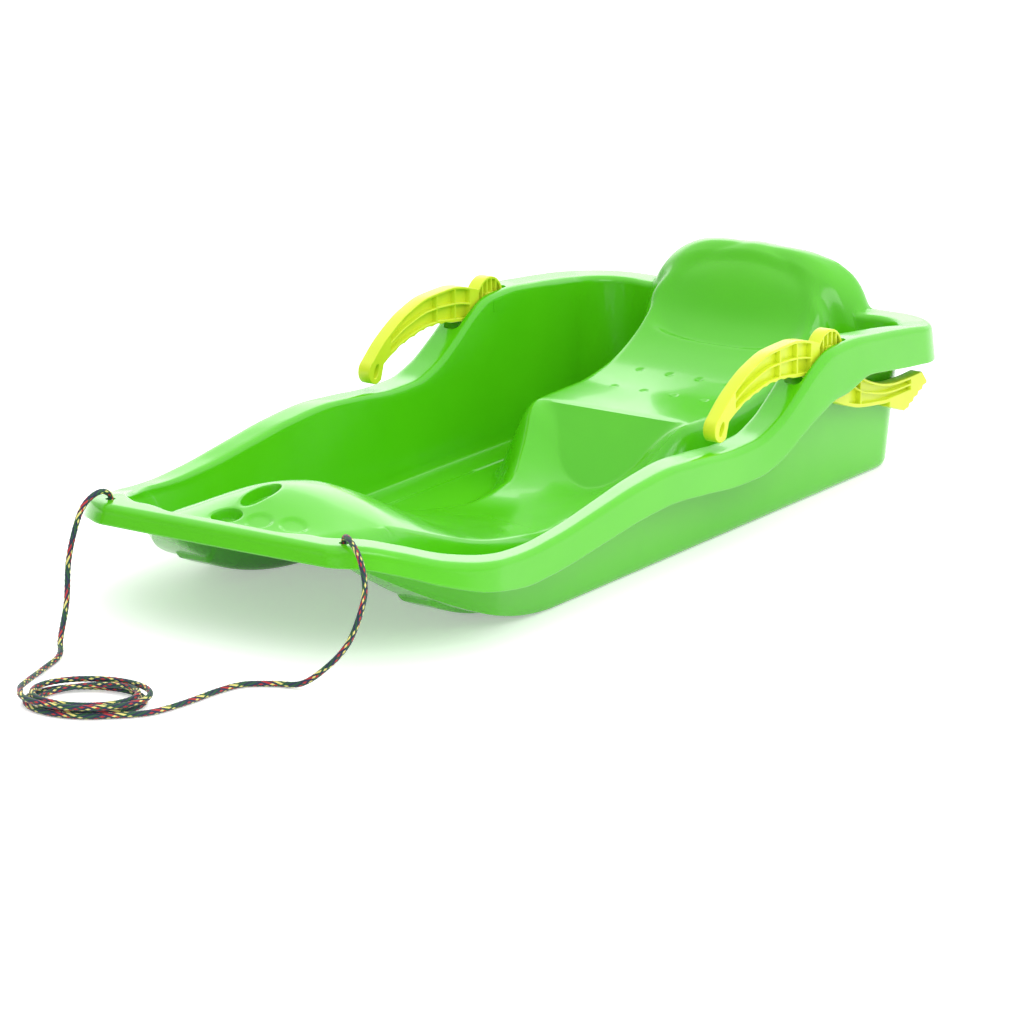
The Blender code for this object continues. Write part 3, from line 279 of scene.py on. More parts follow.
def side_spread():
    """Shares of the side's length at which the rings have their points."""
    fine = np.linspace(0.0, 1.0, SIDE_SAMPLES)
    low, high = FLOOR_FRONT + FLOOR_CORNER_LONG, FLOOR_REAR - FLOOR_CORNER_REAR
    y = low + fine * (high - low)
    density = 1.0 + CLOSE_MORE * np.exp(-(((y - CLOSE_Y) / CLOSE_WIDE) ** 2))
    density = density + BACK_MORE * step_up(BACK_START, BACK_END, y)
    total = np.concatenate([[0.0], np.cumsum((density[1:] + density[:-1]) / 2)])
    return np.interp(np.linspace(0.0, total[-1], N_SIDE + 1), total, fine)


def sheet():
    """Rings of the skirt, rim and wall, at heights without the middle, and the floor's lattice."""
    side = side_spread()
    crest = closed(outline(CREST_HALF, CREST_FRONT, CREST_REAR, FRONT_CORNER_WIDE, FRONT_CORNER_LONG,
                           REAR_CORNER, side))
    floor = closed(outline(FLOOR_HALF, FLOOR_FRONT, FLOOR_REAR, FLOOR_CORNER_WIDE, FLOOR_CORNER_LONG,
                           FLOOR_CORNER_REAR, side))
    inward = floor - crest
    inward = inward / np.linalg.norm(inward, axis=1)[:, None]
    top = rim_height(crest[:, 1])
    depth = np.interp(crest[:, 1], *SKIRT_TABLE)
    bar = BAR_WIDE + (RIM_WIDE - BAR_WIDE) * step_up(BAR_HALF, BAR_END, np.abs(crest[:, 0]))
    lip = np.where(crest[:, 1] < 0, bar, RIM_WIDE)[:, None]
    rings = []

    def add(xy, z):
        rings.append(np.column_stack([xy, z]))

    for f in np.linspace(1.0, 0.0, SKIRT_RINGS):
        add(crest - inward * SKIRT_FLARE * f, top - CREST_RADIUS - (depth - CREST_RADIUS) * f)
    for k in range(1, ROUND_STEPS + 1):
        a = math.pi / 2 * k / ROUND_STEPS
        add(crest + inward * CREST_RADIUS * (1 - math.cos(a)), top - CREST_RADIUS * (1 - math.sin(a)))
    start, end = CREST_RADIUS, lip - LIP_RADIUS
    for k in range(1, RIM_STEPS + 1):
        add(crest + inward * (start + (end - start) * (k / (RIM_STEPS + 1))), top)
    for k in range(ROUND_STEPS + 1):
        a = math.pi / 2 * k / ROUND_STEPS
        add(crest + inward * (lip - LIP_RADIUS * (1 - math.sin(a))), top - LIP_RADIUS * (1 - math.cos(a)))
    foot = floor - inward * (FLOOR_FILLET * FILLET_IN)
    lip_xy = crest + inward * lip
    lip_z = top - LIP_RADIUS
    ground = floor_height(floor[:, 0], floor[:, 1])
    foot_z = np.minimum(ground + FLOOR_FILLET * FILLET_UP, lip_z - LIP_TO_FILLET)
    for k in range(1, WALL_STEPS + 1):
        f = k / WALL_STEPS
        add(lip_xy + (foot - lip_xy) * f, lip_z + (foot_z - lip_z) * f)
    for f in FILLET_MARKS:
        add(foot + (floor - foot) * f, foot_z + (ground - foot_z) * (1 - (1 - f) ** 2))
    return rings, lattice(floor), len(crest)


def lattice(floor):
    """Net over the floor, whose lines follow the edges of the middle and of the runners."""
    half = 2 * N_FRONT + 2 * N_CORNER + N_SIDE
    count = 2 * half
    split = N_FRONT + N_CORNER // 2
    rows = N_CORNER + N_SIDE
    front = np.array([floor[(k - split) % count] for k in range(2 * split + 1)])
    rear = np.array([floor[half + split - k] for k in range(2 * split + 1)])
    right = np.array([floor[split + k] for k in range(rows + 1)])
    left = np.array([floor[(count - split - k) % count] for k in range(rows + 1)])
    v = (np.arange(rows + 1) / rows)[:, None, None]
    u = (np.arange(2 * split + 1) / (2 * split))[None, :, None]
    grid = (1 - v) * front[None] + v * rear[None] + (1 - u) * left[:, None] + u * right[:, None]
    grid = grid - (1 - v) * ((1 - u) * front[0] + u * front[-1]) - v * ((1 - u) * rear[0] + u * rear[-1])
    for j in range(rows + 1):
        edge = grid[j, -1, 0]
        y = grid[j, :, 1]
        top, foot = (np.interp(y, *MIDDLE_TABLES[c]) for c in (2, 3))
        marks = [top * f for f in TOP_MARKS] + [top + (foot - top) * f for f in FLANK_MARKS]
        marks.append(np.minimum(foot, RUNNER_OUTER - RUNNER_EDGE * 2))
        marks += [np.full_like(top, at) for at in (RUNNER_OUTER - RUNNER_EDGE / 2,
                                                   RUNNER_OUTER + RUNNER_EDGE / 2, edge)]
        marks = np.array(marks)
        pull = float(step_up(0.0, LATTICE_EASE, float(min(j, rows - j))))
        if edge <= RUNNER_OUTER + RUNNER_EDGE * 2:
            continue
        for i in range(2 * split + 1):
            k = abs(i - split)
            if k < split:
                want = np.interp(k / M, range(len(marks)), marks[:, i]) * (1 if i > split else -1)
                grid[j, i, 0] += (want - grid[j, i, 0]) * pull
    return grid


def tub_mesh():
    """The tub's upper skin from its rings and lattice, with its heights, thickened to the wall."""
    rings, grid, count = sheet()
    mesh = bmesh.new()
    base = mesh.verts.layers.float.new("base")
    lift = mesh.verts.layers.float.new("lift")
    flat = mesh.verts.layers.float.new("flat")

    def add(x, y, z, raised, inner=0.0):
        vertex = mesh.verts.new((x, y, z))
        vertex[base] = z
        vertex[lift] = raised
        vertex[flat] = inner
        return vertex

    ring_verts = []
    for n, ring in enumerate(rings):
        raised = 0.0 if n < SKIRT_RINGS + 2 else 1.0
        ring_verts.append([add(*p, raised) for p in ring])
    rows, cols = grid.shape[0] - 1, grid.shape[1] - 1
    ground = floor_height(grid[:, :, 0], grid[:, :, 1])
    net = [[add(*grid[j, i], ground[j, i], 1.0, 1.0) for i in range(cols + 1)] for j in range(rows + 1)]
    split, half = N_FRONT + N_CORNER // 2, count // 2
    border = [None] * count
    for i in range(cols + 1):
        border[(i - split) % count] = net[0][i]
        border[half + split - i] = net[rows][i]
    for j in range(rows + 1):
        border[split + j] = net[j][cols]
        border[(count - split - j) % count] = net[j][0]
    ring_verts.append(border)
    strips(mesh, ring_verts)
    strips(mesh, net, shut=False)
    refine(mesh)
    co = np.array([v.co for v in mesh.verts])
    bases = np.array([v[base] for v in mesh.verts])
    raised = np.array([v[lift] for v in mesh.verts]) > 0.5
    x, y = co[:, 0], co[:, 1]
    # The flat layer stays at 1 only between vertices of the lattice
    inner = np.array([v[flat] for v in mesh.verts]) > 0.999
    bases = np.where(inner, floor_height(x, y), bases)
    z = np.where(raised, smooth_max(bases, middle_height(x, y, floor_height(x, y)), BLEND), bases)
    z = np.where(raised, z - carving(x, y), z)
    for vertex, height in zip(mesh.verts, z):
        vertex.co.z = height
    thicken(mesh)
    return mesh


def on_runner_step(x, y):
    """Near the edge of the step that the runners make in the floor."""
    at_side = abs(abs(x) - RUNNER_OUTER) < STEP_SIDE_NEAR and RUNNER_FRONT - STEP_BEFORE < y < SWEEP_START
    return at_side or (abs(y - RUNNER_FRONT) < STEP_FRONT_NEAR and abs(x) < RUNNER_OUTER + RUNNER_EDGE)


def needs_small_faces(x, y, level):
    """Whether a face centred there is split at this level."""
    for cx, cy, hx, hy, depth in RECESSES:
        r = math.hypot((x - cx) / (hx + RECESS_MARGIN), (y - cy) / (hy + RECESS_MARGIN))
        if level < LEVELS_WIDE and r < RECESS_NEAR:
            return True
        if depth > DEEP_RECESS and RECESS_RIM[0] < r < RECESS_RIM[1]:
            return True
    if level < LEVELS_DIMPLE:
        if any(abs(x - cx) < DIMPLE_NEAR and abs(y - cy) < DIMPLE_NEAR for cx, cy in DIMPLES):
            return True
    on_groove = abs(abs(x) - GROOVE_X) < GROOVE_NEAR and GROOVE_FROM < y < GROOVE_TO
    if level < LEVELS_WIDE and (on_groove or on_runner_step(x, y)):
        return True
    return level < LEVELS_SEAT and abs(x) < SEAT_NEAR and SEAT_FROM < y < SEAT_TO


def refine(mesh):
    """Small faces at the recesses, dimples, groove, facet and the runners' step."""
    for level in range(REFINE_LEVELS):
        picked = set()
        for face in mesh.faces:
            c = face.calc_center_median()
            if not needs_small_faces(c.x, c.y, level):
                continue
            if max(edge.calc_length() for edge in face.edges) > REFINE_LENGTH:
                picked.update(face.edges)
        edges = [edge for edge in mesh.edges if edge in picked]
        bmesh.ops.subdivide_edges(mesh, edges=edges, cuts=1, use_grid_fill=True)


def thicken(mesh):
    """Lower skin one wall below the upper one, and the rounded edge between them."""
    mesh.normal_update()
    upper, sheet_faces = list(mesh.verts), list(mesh.faces)
    edges = [edge for edge in mesh.edges if edge.is_boundary]
    lower = {}
    for vertex in upper:
        place = vertex.co - vertex.normal * WALL * min(vertex.calc_shell_factor(), SHELL_LIMIT)
        place.z = max(place.z, 0.0)
        lower[vertex] = mesh.verts.new(place)
    for face in sheet_faces:
        mesh.faces.new([lower[vertex] for vertex in reversed(face.verts)])
    lip = []
    for edge in edges:
        a, b = edge.verts
        mesh.faces.new((a, b, lower[b], lower[a]))
        lip += [edge, mesh.edges.get((lower[a], lower[b]))]
    bmesh.ops.recalc_face_normals(mesh, faces=mesh.faces)
    bmesh.ops.bevel(mesh, geom=lip, offset=EDGE_ROUND, segments=EDGE_SEGMENTS, affect="EDGES", profile=0.5)


# Helpers
CIRCLE_SIDES = 32


def link(name, data, look=None):
    item = bpy.data.objects.new(name, data)
    bpy.context.scene.collection.objects.link(item)
    if look is not None:
        data.materials.append(look)
    return item


def aimed(name, data, place, way):
    """A camera or a lamp that stands there and points that way."""
    item = link(name, data)
    item.location = place
    item.rotation_mode = "QUATERNION"
    item.rotation_quaternion = way.to_track_quat("-Z", "Y")
    return item


def from_bmesh(name, mesh, look=None):
    data = bpy.data.meshes.new(name)
    mesh.to_mesh(data)
    mesh.free()
    return link(name, data, look)


def evaluated(item):
    """The object's mesh with its modifiers applied."""
    graph = bpy.context.evaluated_depsgraph_get()
    return bpy.data.meshes.new_from_object(item.evaluated_get(graph))


def strips(mesh, loops, shut=True):
    """Faces between each loop of vertices and the following one."""
    for a, b in zip(loops[:-1], loops[1:]):
        for k in range(len(a) if shut else len(a) - 1):
            n = (k + 1) % len(a)
            mesh.faces.new((a[k], a[n], b[n], b[k]))


def prism(points, low, high, axis):
    """The flat outline, pushed from low to high."""
    mesh = bmesh.new()
    lower = [mesh.verts.new((*p[:axis], low, *p[axis:])) for p in points]
    upper = [mesh.verts.new((*p[:axis], high, *p[axis:])) for p in points]
    mesh.faces.new(lower)
    mesh.faces.new(list(reversed(upper)))
    for k in range(len(points)):
        n = (k + 1) % len(points)
        mesh.faces.new((lower[k], upper[k], upper[n], lower[n]))
    bmesh.ops.recalc_face_normals(mesh, faces=mesh.faces)
    return mesh


def rounded_box(low, high, corner, steps=8):
    points = []
    centres = ((high[0] - corner, high[1] - corner, 0), (low[0] + corner, high[1] - corner, 1),
               (low[0] + corner, low[1] + corner, 2), (high[0] - corner, low[1] + corner, 3))
    for cx, cy, quarter in centres:
        for k in range(steps + 1):
            a = math.pi / 2 * (quarter + k / steps)
            points.append((cx + corner * math.cos(a), cy + corner * math.sin(a)))
    return points


def circle(cx, cy, radius):
    turns = [math.tau * k / CIRCLE_SIDES for k in range(CIRCLE_SIDES)]
    return [(cx + radius * math.cos(a), cy + radius * math.sin(a)) for a in turns]


def span(side, near, far):
    """The two distances from the middle as coordinates on one side, the lower first."""
    return sorted((side * near, side * far))


def join_meshes(parts):
    whole = bmesh.new()
    for part in parts:
        data = bpy.data.meshes.new("piece")
        part.to_mesh(data)
        part.free()
        whole.from_mesh(data)
        bpy.data.meshes.remove(data)
    return whole


def smooth_by_angle(item, degrees):
    item.data.polygons.foreach_set("use_smooth", [True] * len(item.data.polygons))
    mesh = bmesh.new()
    mesh.from_mesh(item.data)
    for edge in mesh.edges:
        edge.smooth = not (len(edge.link_faces) == 2
                           and edge.calc_face_angle(0.0) > math.radians(degrees))
    mesh.to_mesh(item.data)
    mesh.free()


RIM_STATIONS = [(FRONT + a, b) for a, b in RIM_FROM_FRONT] + [(REAR - a, b) for a, b in RIM_FROM_REAR]
PIVOT_Z = float(monotone(RIM_STATIONS, PIVOT_Y)) - PIVOT_BELOW_CREST


def make_hull(look):
    hull = from_bmesh("tub", tub_mesh(), look)
    bosses, bores, slots, holes = [], [], [], []
    for side in (-1, 1):
        crest = float(rim_height(PIVOT_Y - BOSS_HALF)) - BOSS_BELOW_CREST
        for inner, outer in (BOSS_INNER, BOSS_OUTER):
            low, high = span(side, inner, outer)
            box = rounded_box((PIVOT_Y - BOSS_HALF, PIVOT_Z - BOSS_DEEP), (PIVOT_Y + BOSS_HALF, crest),
                              BOSS_ROUND, 3)
            bosses.append(prism(box, low, high, 0))
        low, high = span(side, PIN_INNER - GAP, PIN_OUTER + GAP)
        bores.append(prism(circle(PIVOT_Y, PIVOT_Z, PIN_RADIUS + GAP), low, high, 0))
        low, high = span(side, LEVER_X - LEVER_WIDE / 2 - SLOT_SIDE_GAP,
                         LEVER_X + LEVER_WIDE / 2 + SLOT_SIDE_GAP)
        slot = rounded_box((low, SLOT_FRONT), (high, SLOT_REAR), SLOT_CORNER)
        slots.append(prism(slot, PIVOT_Z - SLOT_CUT_DOWN, SLOT_CUT_TOP, 2))
        hole = circle(side * HOLE_X, HOLE_Y, HOLE_RADIUS)
        holes.append(prism(hole, HOLE_CUT_LOW, HOLE_CUT_TOP, 2))
    cutters = []
    for name, parts, operation in (("slot_cut", slots, "DIFFERENCE"), ("boss_add", bosses, "UNION"),
                                   ("bore_cut", bores, "DIFFERENCE"), ("hole_cut", holes, "DIFFERENCE")):
        cutters.append(from_bmesh(name, join_meshes(parts)))
        step = hull.modifiers.new(name, "BOOLEAN")
        step.operation = operation
        step.solver = "EXACT"
        step.object = cutters[-1]
    cut = evaluated(hull)
    hull.modifiers.clear()
    hull.data = cut
    for cutter in cutters:
        bpy.data.objects.remove(cutter, do_unlink=True)
    smooth_by_angle(hull, HULL_ANGLE)
    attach(hull, "sled")
    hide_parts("hull")


# Brake levers, drawn flat round the pivot: u towards the nose, w up
HUB_RADIUS = 0.022
HANDLE_TOP = ((0.028, 0.017), (0.045, 0.0215), (0.061, 0.0235), (0.095, 0.0225), (0.129, 0.0145),
              (0.16, -0.0005), (0.183, -0.0165))
HANDLE_BOTTOM = ((0.03, -0.014), (0.049, -0.0105), (0.062, -0.009), (0.084, -0.0065), (0.099, -0.0065),
                 (0.12, -0.0095), (0.14, -0.014), (0.1575, -0.02), (0.172, -0.0275))
TIP_CENTRE, TIP_RADIUS, TIP_FROM, TIP_TURN, TIP_STEPS = (0.1795, -0.0295), 0.0115, 60, 190, 18
EYE_WIDE, EYE_LEAN, EYE_TALL, EYE_SIDES = 0.0035, 0.0021, 0.0062, 24
SCALLOP_START, SCALLOP_PITCH, SCALLOPS, SCALLOP_DEPTH = 0.062, 0.0145, 6, 0.0011
TAIL_TOP = ((0.04, -0.018), (0.0595, -0.034), (0.079, -0.0425), (0.098, -0.048), (0.12, -0.051),
            (0.145, -0.0515), (0.163, -0.051))
TAIL_BOTTOM = ((0.006, -0.044), (0.028, -0.053), (0.053, -0.0604), (0.081, -0.0646), (0.105, -0.067),
               (0.12, -0.067))
# Start, end and point count of each curve, in the outline's order
HANDLE_UPPER, HANDLE_LOWER = (0.03, 0.173, 40), (0.168, 0.034, 110)
TAIL_LOWER, TAIL_UPPER = (0.006, 0.108, 30), (0.16, 0.042, 36)
THROAT = ((0.02, -0.021), (0.008, -0.033))
FOOT_FRONT, BLADE_BOTTOM = (-0.107, -0.0715), (-0.134, -0.081)
BLADE_TOP, BLADE_CORNER = (-0.174, -0.061), (-0.165, -0.051)
TEETH, TOOTH_DEPTH, TOOTH_FROM, TOOTH_TO = 5, 0.0022, 0.15, 0.85
# The heel is the corner that stays just below the rim, as points from its end: forward and down
HEEL_BACK, HEEL_CLEAR, HEEL = 0.036, 0.0014, ((-0.002, 0.01), (0.0, 0.002), (0.003, 0.0))
HUB_END_ANGLE, HUB_STEPS = 38, 30
FLANGE, WEB, RIB, POCKET_END, RIB_STEP = 0.0025, 0.0025, 0.002, 0.0018, 0.003
HANDLE_RIBS, TAIL_RIBS = (0.031, 0.055, 0.084, 0.158), (0.034, 0.056, 0.146)
HUB_PITCH, HUB_REACH, HUB_SLOTS, HUB_SHORT, HUB_NARROW = 0.0072, 0.93, 2, 0.002, 0.001
HUB_BOSS_HALF, HUB_BOSS_TOP, HUB_SLOT_LOW = 0.007, 0.0075, -0.004
ROUND, WEB_ROUND, WEB_INSET = 0.0007, 0.0002, 0.001


def pairs(across, up):
    return list(zip(across.tolist(), up.tolist()))


def curve_points(stations, start, end, count):
    at = np.linspace(start, end, count)
    return pairs(at, monotone(stations, at))


def lever_outline():
    points = curve_points(HANDLE_TOP, *HANDLE_UPPER)
    for k in range(TIP_STEPS + 1):
        a = math.radians(TIP_FROM - TIP_TURN * k / TIP_STEPS)
        points.append((TIP_CENTRE[0] + TIP_RADIUS * math.cos(a), TIP_CENTRE[1] + TIP_RADIUS * math.sin(a)))
    scallop_end = SCALLOP_START + SCALLOPS * SCALLOP_PITCH
    for u in np.linspace(*HANDLE_LOWER):
        w = float(monotone(HANDLE_BOTTOM, u))
        if SCALLOP_START < u < scallop_end:
            w += SCALLOP_DEPTH * abs(math.sin(math.pi * (u - SCALLOP_START) / SCALLOP_PITCH))
        points.append((float(u), w))
    points += list(THROAT)
    points += [(-b, w) for b, w in curve_points(TAIL_BOTTOM, *TAIL_LOWER)]
    points += [FOOT_FRONT, BLADE_BOTTOM]
    edge = Vector(BLADE_TOP) - Vector(BLADE_BOTTOM)
    outward = Vector((edge.y, -edge.x)).normalized()
    if outward.x > 0:
        outward = -outward
    for k in range(TEETH):
        root = Vector(BLADE_BOTTOM) + edge * ((k + TOOTH_FROM) / TEETH)
        crown = Vector(BLADE_BOTTOM) + edge * ((k + TOOTH_TO) / TEETH)
        points += [tuple(root), tuple(crown + outward * TOOTH_DEPTH)]
    points += [BLADE_TOP, BLADE_CORNER]
    points += [(-b, w) for b, w in curve_points(TAIL_TOP, *TAIL_UPPER)]
    under = float(rim_height(PIVOT_Y + HEEL_BACK)) - WALL - PIVOT_Z - HEEL_CLEAR
    points += [(-HEEL_BACK + forward, under - down) for forward, down in HEEL]
    first = math.asin(under / HUB_RADIUS)
    for k in range(HUB_STEPS + 1):
        a = math.pi - first - (math.pi - first - math.radians(HUB_END_ANGLE)) * k / HUB_STEPS
        points.append((HUB_RADIUS * math.cos(a), HUB_RADIUS * math.sin(a)))
    return points


def band_cells(top, bottom, ribs, sign):
    """Pockets of the handle or the tail: two rows between the flanges, parted by a rib."""
    cells = []
    for start, end in zip(ribs[:-1], ribs[1:]):
        at = np.linspace(start + RIB / 2, end - RIB / 2, max(6, int((end - start) / RIB_STEP)))
        upper = monotone(top, at) - FLANGE
        lower = monotone(bottom, at) + FLANGE + SCALLOP_DEPTH
        middle = (upper + lower) / 2
        for high, low in ((upper, middle + RIB / 2), (middle - RIB / 2, lower)):
            keep = high - low > POCKET_END
            if keep.sum() < 2:
                continue
            cells.append(pairs(sign * at[keep], high[keep]) + pairs(sign * at[keep], low[keep])[::-1])
    return cells


def hub_cells():
    """Slots between the upright ribs of the hub, above the bore's boss."""
    cells = []
    inner = HUB_RADIUS - FLANGE
    for k in range(-HUB_SLOTS, HUB_SLOTS + 1):
        low, high = k * HUB_PITCH - HUB_PITCH / 2 + RIB / 2, k * HUB_PITCH + HUB_PITCH / 2 - RIB / 2
        at = np.linspace(max(low, -inner * HUB_REACH), min(high, inner * HUB_REACH), 5)
        if at[-1] - at[0] < HUB_NARROW:
            continue
        tops = np.sqrt(np.maximum(inner ** 2 - at ** 2, 0.0))
        floors = np.where(np.abs(at) < HUB_BOSS_HALF, HUB_BOSS_TOP, HUB_SLOT_LOW)
        if (tops - floors).min() < HUB_SHORT:
            continue
        cells.append(pairs(at, tops) + pairs(at, floors)[::-1])
    return cells


def tip_eye():
    """The slanted eye in the end of the handle."""
    turns = [math.tau * k / EYE_SIDES for k in range(EYE_SIDES)]
    return [(TIP_CENTRE[0] + EYE_WIDE * math.cos(a) - EYE_LEAN * math.sin(a),
             TIP_CENTRE[1] + EYE_TALL * math.sin(a)) for a in turns]


def area(points):
    return sum(a[0] * b[1] - b[0] * a[1] for a, b in zip(points, points[1:] + points[:1])) / 2


def plate(name, loops, thick, rounding, inset=0.0):
    """Flat plate with holes and rounded edges: the first loop is its outline."""
    data = bpy.data.curves.new(name, "CURVE")
    data.dimensions = "2D"
    data.fill_mode = "BOTH"
    data.extrude = thick / 2 - rounding
    data.bevel_depth = rounding
    data.bevel_resolution = 2
    data.offset = -rounding - inset
    for n, loop in enumerate(loops):
        if (area(loop) > 0) != (n == 0):
            loop = loop[::-1]
        line = data.splines.new("POLY")
        line.points.add(len(loop) - 1)
        for spot, p in zip(line.points, loop):
            spot.co = (p[0], p[1], 0.0, 1.0)
        line.use_cyclic_u = True
    item = link(name, data)
    mesh = bmesh.new()
    mesh.from_mesh(evaluated(item))
    bpy.data.objects.remove(item, do_unlink=True)
    return mesh


def make_lever(name, side, look):
    middle = side * LEVER_X
    cells = band_cells(HANDLE_TOP, HANDLE_BOTTOM, HANDLE_RIBS, 1)
    cells += band_cells(TAIL_TOP, TAIL_BOTTOM, TAIL_RIBS, -1)
    cells += hub_cells() + [tip_eye()]
    bore = circle(0, 0, PIN_RADIUS + GAP)
    whole = join_meshes([plate("ribs", [lever_outline()] + cells + [bore], LEVER_WIDE, ROUND),
                         plate("web", [lever_outline(), bore], WEB, WEB_ROUND, WEB_INSET)])
    for vertex in whole.verts:
        u, w, t = vertex.co
        vertex.co = (middle + t, PIVOT_Y - u, PIVOT_Z + w)
    bmesh.ops.reverse_faces(whole, faces=whole.faces)
    lever = from_bmesh(name.replace("brake_", "") + "_handle", whole, look)
    smooth_by_angle(lever, LEVER_ANGLE)
    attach(lever, "lever_" + name.split("_")[-1])
    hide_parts(name)


# Pins: distance from the end and radius along the rounded end
PIN_END = ((0.0, 0.002), (0.0004, 0.0027), (0.001, PIN_RADIUS))


def turned_pin(rows):
    """Solid of revolution about the pivot's axis, from rows of x and radius."""
    mesh = bmesh.new()
    loops = [[mesh.verts.new((x, y, z)) for y, z in circle(PIVOT_Y, PIVOT_Z, radius)] for x, radius in rows]
    strips(mesh, loops)
    mesh.faces.new(list(reversed(loops[0])))
    mesh.faces.new(loops[-1])
    bmesh.ops.recalc_face_normals(mesh, faces=mesh.faces)
    return mesh


def make_pin(name, side, look):
    low, high = span(side, PIN_INNER, PIN_OUTER)
    rows = [(low + along, radius) for along, radius in PIN_END]
    rows += [(high - along, radius) for along, radius in reversed(PIN_END)]
    pin = from_bmesh(name.replace("pivot_", "") + "_turned", turned_pin(rows), look)
    smooth_by_angle(pin, PIN_ANGLE)
    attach(pin, "sled")
    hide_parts(name)


# Pull rope: from the right hole over the bar, round the coil and up to the left hole
ROPE_RADIUS, FLOOR_LIFT = 0.0025, 0.0005
COIL_X, COIL_Y, COIL_SLANT = 0.001, FRONT - 0.1635, math.radians(26)
COIL_LONG, COIL_SHORT, COIL_LAYER = 0.0545, 0.0415, 0.0067
COIL_LONG_PITCH, COIL_SHORT_PITCH = 0.0098, 0.0068
COIL_START_TURN, COIL_TURNS, COIL_FALL_AT, COIL_FALL_TURN = 0.5, 3.33, 1.5, 0.5
COIL_STEPS, COIL_LEAD = 24, 0.008
KNOT_TALL, KNOT_GAP, ROPE_OVER = 0.013, 0.0012, 0.0035
KNOT_CORD, KNOT_LOOP, KNOT_WAVE, KNOT_STEPS = 0.0024, 0.00155, 0.0034, 96
CURVE_STEPS, PATH_STEP, PATH_PASSES = 12, 0.0015, 6
LOW = ROPE_RADIUS + FLOOR_LIFT
# Points of the two runs: x, distance in front of the nose, height
ROUTE_MINUS_X = (
    (-0.1195, -0.01, 0.1152), (-0.123, 0.005, 0.1085), (-0.1262, 0.013, 0.093),
    (-0.13, 0.02, 0.062), (-0.121, 0.035, 0.032), (-0.109, 0.059, 0.009),
    (-0.093, 0.081, LOW), (-0.08, 0.118, 0.0034), (-0.064, 0.1565, 0.0072),
)
ROUTE_PLUS_X = (
    (0.0525, 0.171, LOW), (0.0605, 0.159, LOW), (0.0655, 0.139, LOW),
    (0.0685, 0.113, LOW), (0.0705, 0.085, LOW), (0.077, 0.061, LOW),
    (0.096, 0.046, LOW), (0.119, 0.04, 0.0055), (0.14, 0.035, 0.0215),
    (0.155, 0.029, 0.04), (0.161, 0.021, 0.061), (0.1615, 0.0125, 0.083),
    (0.151, 0.004, 0.104), (0.131, -0.009, 0.115),
)


def coil_points():
    """Loops of an oval that narrow on the upper layer, fall to the floor and widen again."""
    points = []
    for k in range(int(round(COIL_TURNS * COIL_STEPS)) + 1):
        turn = k / COIL_STEPS
        angle = math.tau * (COIL_START_TURN + turn)
        fall = float(step_up(COIL_FALL_AT, COIL_FALL_AT + COIL_FALL_TURN, turn))
        wound = min(turn, COIL_FALL_AT) - max(turn - COIL_FALL_AT - COIL_FALL_TURN, 0.0)
        u = (COIL_LONG - wound * COIL_LONG_PITCH) * math.cos(angle)
        v = (COIL_SHORT - wound * COIL_SHORT_PITCH) * math.sin(angle)
        points.append(Vector((COIL_X + u * math.cos(COIL_SLANT) - v * math.sin(COIL_SLANT),
                              COIL_Y + u * math.sin(COIL_SLANT) + v * math.cos(COIL_SLANT),
                              LOW + (1 - fall) * COIL_LAYER)))
    return points


def catmull(points, steps):
    """Smooth curve through the points."""
    points = [Vector(p) for p in points]
    points = [2 * points[0] - points[1]] + points + [2 * points[-1] - points[-2]]
    fine = []
    for a, b, c, d in zip(points[:-3], points[1:-2], points[2:-1], points[3:]):
        for k in range(steps):
            t = k / steps
            fine.append(0.5 * ((2 * b) + (c - a) * t + (2 * a - 5 * b + 4 * c - d) * t * t
                               + (3 * b - a - 3 * c + d) * t ** 3))
    fine.append(points[-2])
    return np.array(fine)


def resampled(spots, spacing):
    """The same line in equal steps, and its length."""
    length = np.concatenate([[0.0], np.cumsum(np.linalg.norm(np.diff(spots, axis=0), axis=1))])
    count = max(2, int(round(length[-1] / spacing)))
    at = np.linspace(0.0, length[-1], count + 1)
    return np.column_stack([np.interp(at, length, spots[:, i]) for i in range(3)]), length[-1]


def rope_path():
    coil = coil_points()
    over = float(rim_height(CREST_FRONT))
    under = over - WALL - KNOT_GAP
    start_way = (coil[1] - coil[0]).normalized()
    end_way = (coil[-1] - coil[-2]).normalized()
    points = [(-HOLE_X, HOLE_Y, under), (-HOLE_X, HOLE_Y, over + ROPE_OVER)]
    points += [(x, FRONT - ahead, z) for x, ahead, z in ROUTE_MINUS_X]
    points += [tuple(coil[0] - start_way * COIL_LEAD)]
    points += [tuple(p) for p in coil]
    points += [tuple(coil[-1] + end_way * COIL_LEAD)]
    points += [(x, FRONT - ahead, z) for x, ahead, z in ROUTE_PLUS_X]
    points += [(HOLE_X, HOLE_Y, over + ROPE_OVER), (HOLE_X, HOLE_Y, under)]
    path = resampled(catmull(points, CURVE_STEPS), PATH_STEP)[0]
    for _ in range(PATH_PASSES):
        path[1:-1] = (path[:-2] + 2 * path[1:-1] + path[2:]) / 4
    return path


BRAID_AROUND, BRAID_STEP, BRAID_BULGE = 8, 0.0024, 0.0003
BRAID_START = (0.3, 0.9, 0.2)
# The yarn of each strand, as its place in the list, for the two ways they wind
STRANDS_A = (0, 1, 0, 1, 3, 0, 2, 0)
STRANDS_B = (1, 0, 1, 0, 2, 0, 3, 1)


